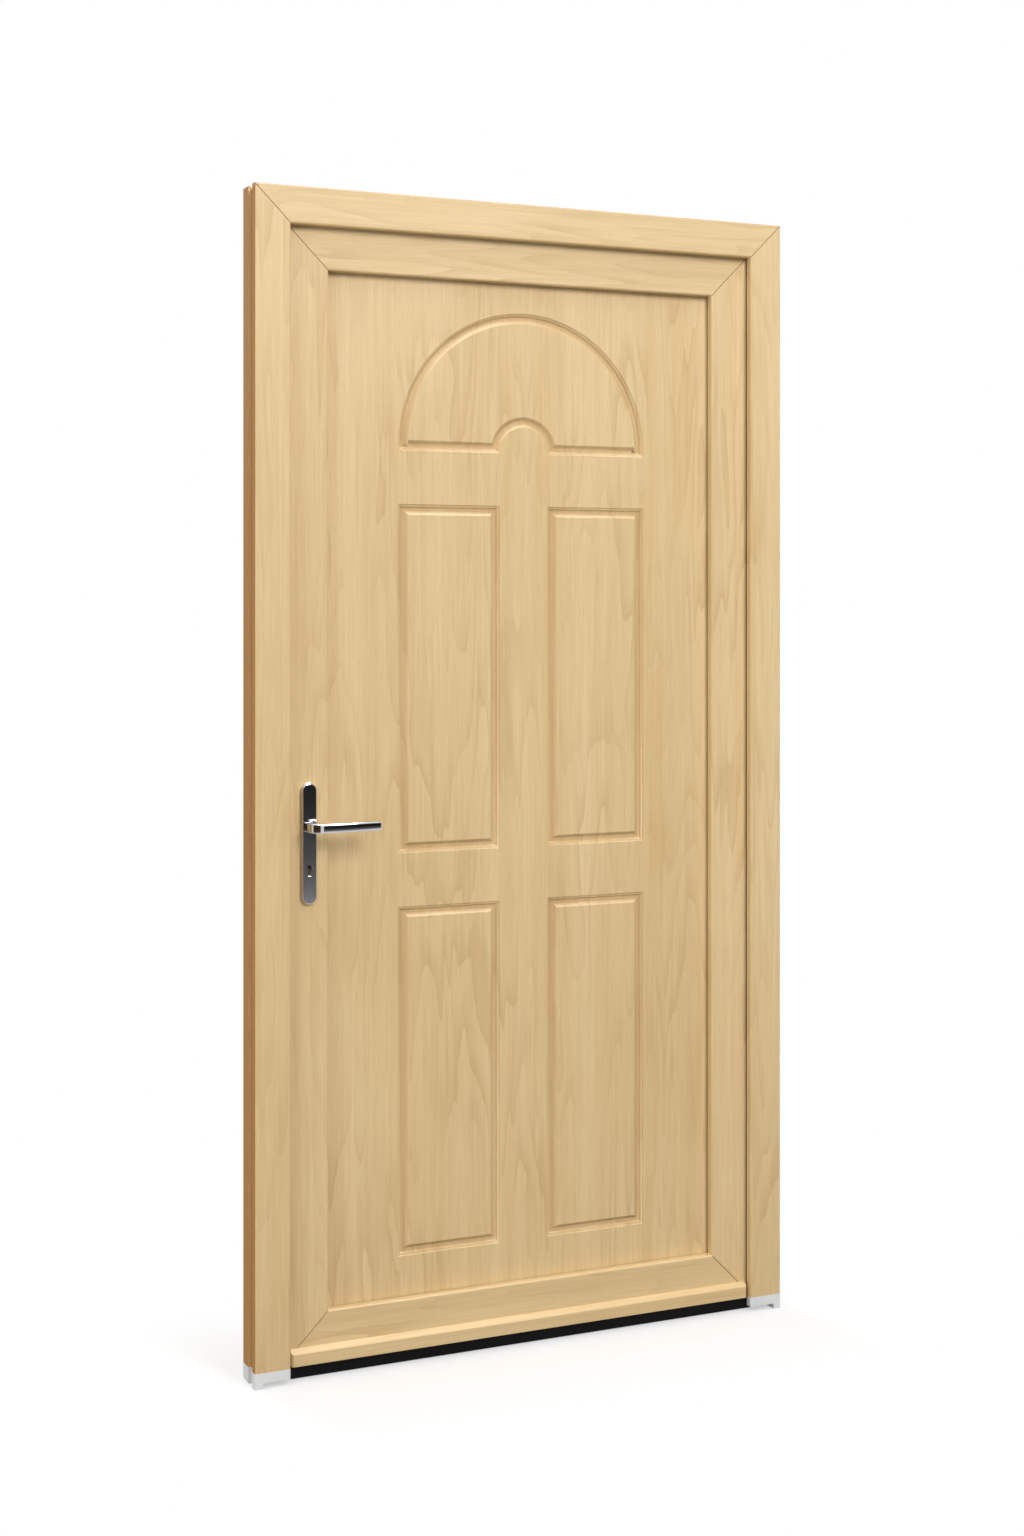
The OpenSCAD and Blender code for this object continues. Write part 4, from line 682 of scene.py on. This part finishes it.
class FRONTDOOR_OT_plates(bpy.types.Operator):
    """Long handle plates with a bore for the neck, a keyhole and screw posts"""
    bl_idname = "frontdoor.plates"
    bl_label = "Handle plates"

    # Chamfer of the holes, softening of the bevel's edges
    chamfer, soft = 0.0003, 0.0002
    # Half widths of the keyhole's slot, as shares of its radius, at the round top and at the foot
    slot_top, slot_foot = 0.56, 0.46
    ring_steps, end_steps, keyhole_steps = 48, 32, 28

    def execute(self, context):
        s = context.scene.front_door_handle
        for name, side in (("outer_handle_plate", -1), ("inner_handle_plate", 1)):
            shell = Shell()

            def loop(points, out):
                y = side * (s.leaf_face + out)
                return shell.loop([(s.axis_x + x, y, z) for x, z in points])

            def ring(r, out, height):
                turns = [2 * math.pi * i / self.ring_steps for i in range(self.ring_steps)]
                return loop([(r * math.cos(a), height + r * math.sin(a)) for a in turns], out)

            def stadium(pull, out):
                r = s.plate_width / 2 - pull
                end = (s.plate_height - s.plate_width) / 2
                points = []
                for up, start in ((1, 0), (-1, 180)):
                    middle = s.plate_middle + up * end
                    for i in range(self.end_steps + 1):
                        a = math.radians(start + 180 * i / self.end_steps)
                        points.append((r * math.cos(a), middle + r * math.sin(a)))
                return loop(points, out)

            def keyhole(out, grow=0):
                r = s.keyhole_radius + grow
                wide = self.slot_top * s.keyhole_radius + grow
                narrow = self.slot_foot * s.keyhole_radius + grow
                foot = s.key_height - s.keyhole_drop - grow
                join = math.asin(wide / r)
                points = [(-narrow, foot), (narrow, foot)]
                first, last = -math.pi / 2 + join, 1.5 * math.pi - join
                for i in range(self.keyhole_steps + 1):
                    a = first + (last - first) * i / self.keyhole_steps
                    points.append((r * math.cos(a), s.key_height + r * math.sin(a)))
                return loop(points, out)

            t, b, c, e = s.plate_thickness, s.plate_bevel, self.chamfer, self.soft
            rim = t - b
            outside = [stadium(pull, out) for pull, out in (
                (0, 0), (0, rim - 2 * e), (0, rim - e), (0.3 * e, rim - 0.3 * e), (e, rim + e),
                (2 * e, rim + 2 * e), (b - e / 2, t - e / 2), (b, t))]
            hole = s.neck_radius + s.neck_gap
            bore = [ring(r, out, s.axis_height)
                    for r, out in ((hole + c, t), (hole, t - c), (hole, 0))]
            key = [keyhole(t, c), keyhole(t - c), keyhole(0)]
            for wall in (outside, bore, key):
                shell.tube(wall)
            face_holes, back_holes = [bore[0], key[0]], [bore[-1], key[-1]]
            for up in (-1, 1):
                height = s.plate_middle + up * s.screw_span / 2
                if side < 0:
                    post = [ring(r, out, height) for r, out in (
                        (s.post_radius, 0), (s.post_radius, -s.post_length),
                        (s.screw_radius, -s.post_length), (s.screw_radius, 0))]
                    shell.tube(post)
                    shell.fill(post[-1])
                    back_holes.append(post[0])
                else:
                    deep = t - s.head_height
                    sunk = [ring(r, out, height) for r, out in (
                        (s.head_radius + c, t), (s.head_radius, t - c), (s.head_radius, deep),
                        (s.screw_radius, deep), (s.screw_radius, 0))]
                    shell.tube(sunk)
                    face_holes.append(sunk[0])
                    back_holes.append(sunk[-1])
            shell.fill(outside[-1], face_holes)
            shell.fill(outside[0], back_holes)
            piece = finish_mesh(name + "_body", shell, "chrome", "leaf", merge=1e-7)
            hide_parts(name)
        return {"FINISHED"}


# Screws

HINGE_HEIGHTS = (0.26, 1.05, 1.84)
HINGE_STEP = 0.0424
TREAD_PLACES = (-0.3872, -0.13552, 0.13552, 0.3872)
KEEP_HEIGHTS, FACEPLATE_HEIGHTS = (0.899, 1.021), (0.837425, 1.050575)
LEAF_HINGE_PLACES = (0.46062, 0.48078)
FACING = {"up": (0, 0, 0), "inside": (-math.pi / 2, 0, 0),
          "right": (0, math.pi / 2, 0), "left": (0, -math.pi / 2, 0)}
# Piece, body, way the heads face, head radius, length, places of the heads' tops
SCREWS = (
    ("tread_screws", "frame", "up", 0.0045, 0.012, [(x, -0.006, 0.026) for x in TREAD_PLACES]),
    ("keep_screws", "frame", "right", 0.0036, 0.018, [(-0.476, 0, z) for z in KEEP_HEIGHTS]),
    ("faceplate_screws", "leaf", "left", 0.0036, 0.012,
     [(-0.472, 0, z) for z in FACEPLATE_HEIGHTS]),
    ("frame_hinge_screws", "frame", "inside", 0.0038, 0.016,
     [(0.516, 0.02, z + up * HINGE_STEP) for z in HINGE_HEIGHTS for up in (-1, 0, 1)]),
    ("leaf_hinge_screws", "leaf", "inside", 0.0038, 0.016,
     [(x, 0.039, z + up * HINGE_STEP) for z in HINGE_HEIGHTS for up in (-1, 1)
      for x in LEAF_HINGE_PLACES]),
)
# Crossed screws: head's height, recess's depth, its width and length as shares of the head's radius
CROSSED_HEAD, CROSSED_DEPTH, CROSSED_WIDTH, CROSSED_LENGTH = 0.0024, 0.0013, 0.26, 1.15
# Slotted screws: recess's depth and width, its length as a share of the head's radius
SLOTTED_DEPTH, SLOTTED_WIDTH, SLOTTED_LENGTH = 0.001, 0.0012, 2.2
# Share of a head's height in its softened rim, and of its radius on top of that rim
HEAD_RIM, HEAD_TOP = 0.12, 0.94
# Sides of a screw, and distance within which the rings of its faces are joined
SCREW_SIDES, SCREW_JOIN = 40, 1e-6


def screw_tree():
    """Node tree that sets a screw on every point of a mesh; gives the tree and its inputs' keys."""
    tree = bpy.data.node_groups.new("screw_set", "GeometryNodeTree")
    keys = {}
    sizes = ("Head radius", "Head height", "Under head radius", "Shank radius", "Length",
             "Recess width", "Recess depth", "Recess length")
    for name, kind in (("Places", "Geometry"), *((size, "Float") for size in sizes),
                       ("Crossed", "Bool"), ("Facing", "Vector"), ("Finish", "Material")):
        keys[name] = tree.interface.new_socket(
            name, in_out="INPUT", socket_type="NodeSocket" + kind).identifier
    tree.interface.new_socket("Screws", in_out="OUTPUT", socket_type="NodeSocketGeometry")
    given = tree.nodes.new("NodeGroupInput").outputs

    def sized(x, y, z):
        return add(tree, "ShaderNodeCombineXYZ", {"X": x, "Y": y, "Z": z}).outputs[0]

    def ring(low_radius, high_radius, depth, z):
        """Faces between two circles, the lower one at height z."""
        made = add(tree, "GeometryNodeMeshCone", {
            "Vertices": SCREW_SIDES, "Radius Bottom": low_radius, "Radius Top": high_radius,
            "Depth": depth}, fill_type="NONE")
        return add(tree, "GeometryNodeTransform", {
            "Geometry": made.outputs["Mesh"], "Translation": sized(0.0, 0.0, z)}).outputs[0]

    head, under, shank = given["Head radius"], given["Under head radius"], given["Shank radius"]
    rim, top = times(tree, given["Head height"], HEAD_RIM), times(tree, head, HEAD_TOP)
    foot, neck, edge = (times(tree, below, -1.0)
                        for below in (given["Length"], given["Head height"], rim))
    rings = add(tree, "GeometryNodeJoinGeometry")
    for low_radius, high_radius, depth, z in (
            (0.0, shank, 0.0, foot), (shank, shank, math_node(tree, "SUBTRACT", neck, foot), foot),
            (shank, under, 0.0, neck), (under, head, math_node(tree, "SUBTRACT", edge, neck), neck),
            (head, top, rim, edge), (top, 0.0, 0.0, 0.0)):
        tree.links.new(ring(low_radius, high_radius, depth, z), rings.inputs[0])
    whole = add(tree, "GeometryNodeMergeByDistance", {
        "Geometry": rings.outputs[0], "Distance": SCREW_JOIN})
    long, wide = given["Recess length"], given["Recess width"]
    deep = times(tree, given["Recess depth"], 2.0)
    slot = add(tree, "GeometryNodeMeshCube", {"Size": sized(long, wide, deep)})
    second = add(tree, "GeometryNodeMeshCube", {"Size": sized(wide, long, deep)})
    choice = add(tree, "GeometryNodeSwitch", {
        "Switch": given["Crossed"], "True": second.outputs["Mesh"]}, input_type="GEOMETRY")
    cut = add(tree, "GeometryNodeMeshBoolean", {"Mesh 1": whole.outputs[0]},
              operation="DIFFERENCE", solver="EXACT")
    for mesh in (slot.outputs["Mesh"], choice.outputs[0]):
        tree.links.new(mesh, cut.inputs["Mesh 2"])
    turn = add(tree, "FunctionNodeEulerToRotation", {"Euler": given["Facing"]})
    copies = add(tree, "GeometryNodeInstanceOnPoints", {
        "Points": given["Places"], "Instance": cut.outputs["Mesh"], "Rotation": turn.outputs[0]})
    solid = add(tree, "GeometryNodeRealizeInstances", {"Geometry": copies.outputs[0]})
    dressed = add(tree, "GeometryNodeSetMaterial", {
        "Geometry": solid.outputs[0], "Material": given["Finish"]})
    add(tree, "NodeGroupOutput", {"Screws": dressed.outputs[0]})
    return tree, keys


class FRONTDOOR_OT_screws(bpy.types.Operator):
    """Screws of the tread, keep, faceplate, hinges and handles"""
    bl_idname = "frontdoor.screws"
    bl_label = "Screws"

    def execute(self, context):
        s = context.scene.front_door_handle
        tops = [(s.axis_x, s.leaf_face + s.plate_thickness, s.plate_middle + up * s.screw_span / 2)
                for up in (-1, 1)]
        sets = [(*row, "screw_steel", "screw", True) for row in SCREWS]
        sets.append(("handle_screws", "leaf", "inside", s.head_radius,
                     2 * s.leaf_face + s.plate_thickness, tops, "handle_metal", "chrome", False))
        tree, keys = screw_tree()
        for name, body, facing, head, long, places, slot, finish, crossed in sets:
            mesh = bpy.data.meshes.new(name + "_places")
            mesh.from_pydata(places, [], [])
            piece = new_object(name + "_set", mesh)
            maker = piece.modifiers.new("screws", "NODES")
            maker.node_group = tree
            values = {"Head radius": head, "Length": long, "Crossed": crossed,
                      "Facing": FACING[facing], "Finish": FINISHES[finish]}
            if crossed:
                values.update({
                    "Head height": CROSSED_HEAD, "Under head radius": head / 2,
                    "Shank radius": head / 2, "Recess width": head * CROSSED_WIDTH,
                    "Recess depth": CROSSED_DEPTH, "Recess length": head * CROSSED_LENGTH})
            else:
                values.update({
                    "Head height": s.head_height, "Under head radius": head,
                    "Shank radius": s.screw_radius, "Recess width": SLOTTED_WIDTH,
                    "Recess depth": SLOTTED_DEPTH, "Recess length": head * SLOTTED_LENGTH})
            for key, value in values.items():
                maker[keys[key]] = value
            context.view_layer.update()
            built = piece.evaluated_get(context.evaluated_depsgraph_get())
            solid = bpy.data.meshes.new_from_object(built)
            if not solid.polygons:
                raise RuntimeError("no screws were made for " + name)
            piece.modifiers.clear()
            piece.data = solid
            solid.shade_smooth()
            solid.set_sharp_from_angle(angle=SCREW_CREASE)
            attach(piece, body)
            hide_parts(name)
        return {"FINISHED"}


class FRONTDOOR_OT_profiles(bpy.types.Operator):
    """Foil on the frame, the leaf's profiles, the beads and the drip bar"""
    bl_idname = "frontdoor.profiles"
    bl_label = "Foiled profiles"

    def execute(self, context):
        dress("foil_z", "frame_lock_jamb", "frame_hinge_jamb", "sash_lock_stile",
              "sash_hinge_stile", "lock_bead", "hinge_bead")
        dress("foil_x", "frame_head", "sash_top_rail", "sash_bottom_rail", "top_bead",
              "bottom_bead")
        dress("foil_bar", "drip_bar")
        return {"FINISHED"}


class FRONTDOOR_OT_fittings(bpy.types.Operator):
    """Finishes of the seals, the threshold, the hinges, the lock and the steel tubes"""
    bl_idname = "frontdoor.fittings"
    bl_label = "Fittings"

    def execute(self, context):
        dress("rubber", "frame_gasket", "sash_gasket", "panel_outer_gasket", "panel_inner_gasket",
              "bottom_seal")
        dress("block", "lock_end_block", "hinge_end_block")
        dress("base", "threshold_base", "panel_packers", "hinge_washers")
        dress("tread", "threshold_tread")
        dress("enamel", *(f"{level}_hinge_{half}_half" for level in ("top", "middle", "bottom")
                          for half in ("frame", "leaf")))
        dress("zinc", "lock_jamb_steel", "hinge_jamb_steel", "head_steel", "lock_stile_steel",
              "hinge_stile_steel", "top_rail_steel", "bottom_rail_steel", "keep_plate", "lock_case",
              "lock_cover", "lock_faceplate", "lock_follower", "lever_spindle", "latch_bolt",
              "dead_bolt", "hinge_pins")
        return {"FINISHED"}


# Stage

# Half the floor's width, its drop under the part, distance over which it turns plain white
FLOOR_HALF, FLOOR_DROP, FLOOR_FADE = 14, 0.0002, 0.32
# Share of plain white under the part; the floor's grey as light and as it is seen
FLOOR_WHITE, FLOOR_GREY = 0.5, (0.2, 0.9)
# Studio cards: height, gap over the floor, heights between which their glow fades
CARD_HEIGHT, CARD_GAP, CARD_FADE = 3.2, 0.01, (0.05, 0.5)
# Card, its ends on the floor, tint, glow at its foot and over it
CARDS = (
    ("dark_card", (0.7, -5.2), (4.5, -5.2), (1, 1, 1), 0.15, 0.012),
    ("brown_card", (-4.2, -0.4), (-1.3, -5.1), (1, 0.62, 0.3), 0.16, 0.06),
)
# Lamp, property with its power, place, turn in degrees, whether it acts on matt and on gloss
LAMPS = (
    ("key_light", "key_power", (1.3, -5.4, 4.6), (58.5, 0, 13.5), True, True),
    ("top_light", "top_power", (0.2, -0.8, 5.2), (0, 0, 0), True, True),
    ("fill_light", "fill_power", (-4.0, -1.6, 1.5), (90, 0, -66), True, False),
    ("back_light", "back_power", (-1.3, 5.4, 4.6), (58.5, 0, 193.5), True, True),
    ("sheen_light", "sheen_power", (0.2, -0.2, 5.4), (0, 0, 0), False, True),
)
# Camera: place, turn in degrees, shift of the picture, width of the sensor, farthest distance
CAMERA_PLACE, CAMERA_TURN = (-1.63082, -3.60776, 1.37526), (90, 0, -24.11)
CAMERA_SHIFT, SENSOR_WIDTH, CAMERA_END = -0.1099, 36, 60


def turned(degrees):
    """Angles for Blender from angles in degrees."""
    return tuple(math.radians(angle) for angle in degrees)


def flat_face(name, corners, material_name):
    """One face with an empty material; gives the object and the material's tree."""
    mesh = bpy.data.meshes.new(name)
    mesh.from_pydata(corners, [], [(0, 1, 2, 3)])
    material = bpy.data.materials.new(material_name)
    mesh.materials.append(material)
    return new_object(name, mesh), bare_tree(material)


class FRONTDOOR_OT_stage(bpy.types.Operator):
    """Pale floor, soft light and the camera"""
    bl_idname = "frontdoor.stage"
    bl_label = "Stage"

    def seen(self, tree):
        """1 for rays that show the background itself."""
        path = add(tree, "ShaderNodeLightPath").outputs
        seen = math_node(tree, "MAXIMUM", path["Is Camera Ray"], path["Is Glossy Ray"])
        return math_node(tree, "MAXIMUM", seen, path["Is Transmission Ray"])

    def floor(self):
        """Pale floor, plain white away from the part and softly shaded under it."""
        low, high = CAD_BOX
        half, z = FLOOR_HALF, low[2] - FLOOR_DROP
        floor, tree = flat_face("floor", [(-half, -half, z), (half, -half, z), (half, half, z),
                                          (-half, half, z)], "pale_floor")
        spot = axes(tree)
        away = []
        for axis in range(2):
            reach = max(abs(low[axis]), abs(high[axis]))
            off = math_node(tree, "SUBTRACT", size_of(tree, spot[axis]), reach)
            away.append(math_node(tree, "POWER", math_node(tree, "MAXIMUM", off, 0.0), 2.0))
        far = math_node(tree, "SQRT", math_node(tree, "ADD", *away))
        clear = spread(tree, far, FLOOR_WHITE, 1.0, 0.0, FLOOR_FADE,
                       interpolation_type="SMOOTHSTEP")
        seen = self.seen(tree)
        pale = add(tree, "ShaderNodeBsdfDiffuse", {"Color": spread(tree, seen, *FLOOR_GREY)})
        white = add(tree, "ShaderNodeEmission", {"Color": (1, 1, 1, 1), "Strength": 1.0})
        mixed = add(tree, "ShaderNodeMixShader", {
            0: times(tree, clear, seen), 1: pale.outputs[0], 2: white.outputs[0]})
        add(tree, "ShaderNodeOutputMaterial", {"Surface": mixed.outputs[0]})

    def card(self, name, start, end, tint, low_glow, high_glow):
        """Upright studio card that only polished surfaces mirror; its glow fades upwards."""
        card, tree = flat_face(name, [(*start, CARD_HEIGHT), (*end, CARD_HEIGHT), (*end, CARD_GAP),
                                      (*start, CARD_GAP)], name)
        fade = spread(tree, axes(tree)["Z"], low_glow, high_glow, *CARD_FADE)
        glow = add(tree, "ShaderNodeEmission", {"Color": (*tint, 1), "Strength": fade})
        add(tree, "ShaderNodeOutputMaterial", {"Surface": glow.outputs[0]})
        card.visible_camera = card.visible_diffuse = card.visible_shadow = False
        card.visible_transmission = card.visible_volume_scatter = False

    def world(self, even, top):
        """Light from all round that gains towards the top; white where it is seen."""
        world = bpy.data.worlds.new("studio")
        bpy.context.scene.world = world
        tree = bare_tree(world)
        rise = times(tree, math_node(tree, "MAXIMUM", axes(tree, "Generated")["Z"], 0.0), top)
        strength = spread(tree, self.seen(tree), math_node(tree, "ADD", rise, even), 1.0)
        sky = add(tree, "ShaderNodeBackground", {"Color": (1, 1, 1, 1), "Strength": strength})
        add(tree, "ShaderNodeOutputWorld", {"Surface": sky.outputs[0]})

    def lamp(self, name, watts, size, spot, turn, matt, gloss):
        """Square soft lamp."""
        data = bpy.data.lights.new(name, "AREA")
        data.energy, data.size = watts, size
        lamp = new_object(name, data)
        lamp.location, lamp.rotation_euler = spot, turned(turn)
        lamp.visible_diffuse, lamp.visible_glossy = matt, gloss

    def camera(self, lens):
        """Camera of the photograph."""
        data = bpy.data.cameras.new("camera")
        data.lens, data.sensor_width, data.sensor_fit = lens, SENSOR_WIDTH, "AUTO"
        data.shift_y, data.clip_end = CAMERA_SHIFT, CAMERA_END
        camera = new_object("camera", data)
        camera.location, camera.rotation_euler = CAMERA_PLACE, turned(CAMERA_TURN)
        bpy.context.scene.camera = camera

    def execute(self, context):
        s = context.scene.front_door_stage
        self.floor()
        self.world(s.even_light, s.top_light)
        for card in CARDS:
            self.card(*card)
        for name, power_name, *looks in LAMPS:
            self.lamp(name, getattr(s, power_name), s.lamp_size, *looks)
        self.camera(s.lens)
        context.scene.view_settings.view_transform = "Standard"
        return {"FINISHED"}


class FRONTDOOR_PT_pieces(bpy.types.Panel):
    """Pieces of the door"""
    bl_idname = "FRONTDOOR_PT_pieces"
    bl_label = "Front Door"
    bl_space_type = "VIEW_3D"
    bl_region_type = "UI"
    bl_category = "Front Door"

    def draw(self, context):
        for step in STEPS:
            self.layout.operator(step.bl_idname)


GROUPS = (("front_door_panel", FrontDoorPanelSizes), ("front_door_handle", FrontDoorHandleSizes),
          ("front_door_colours", FrontDoorColours), ("front_door_stage", FrontDoorStage))
STEPS = (FRONTDOOR_OT_profiles, FRONTDOOR_OT_panel, FRONTDOOR_OT_levers, FRONTDOOR_OT_plates,
         FRONTDOOR_OT_screws, FRONTDOOR_OT_fittings, FRONTDOOR_OT_stage)


def register():
    for name, group in GROUPS:
        bpy.utils.register_class(group)
        setattr(bpy.types.Scene, name, PointerProperty(type=group))
    for step in (*STEPS, FRONTDOOR_PT_pieces):
        bpy.utils.register_class(step)


def unregister():
    for step in (FRONTDOOR_PT_pieces, *reversed(STEPS)):
        bpy.utils.unregister_class(step)
    for name, group in reversed(GROUPS):
        delattr(bpy.types.Scene, name)
        bpy.utils.unregister_class(group)


def main():
    register()
    make_finishes(bpy.context.scene.front_door_colours)
    for step in STEPS:
        group, name = step.bl_idname.split(".")
        getattr(getattr(bpy.ops, group), name)()


if __name__ == "__main__":
    main()
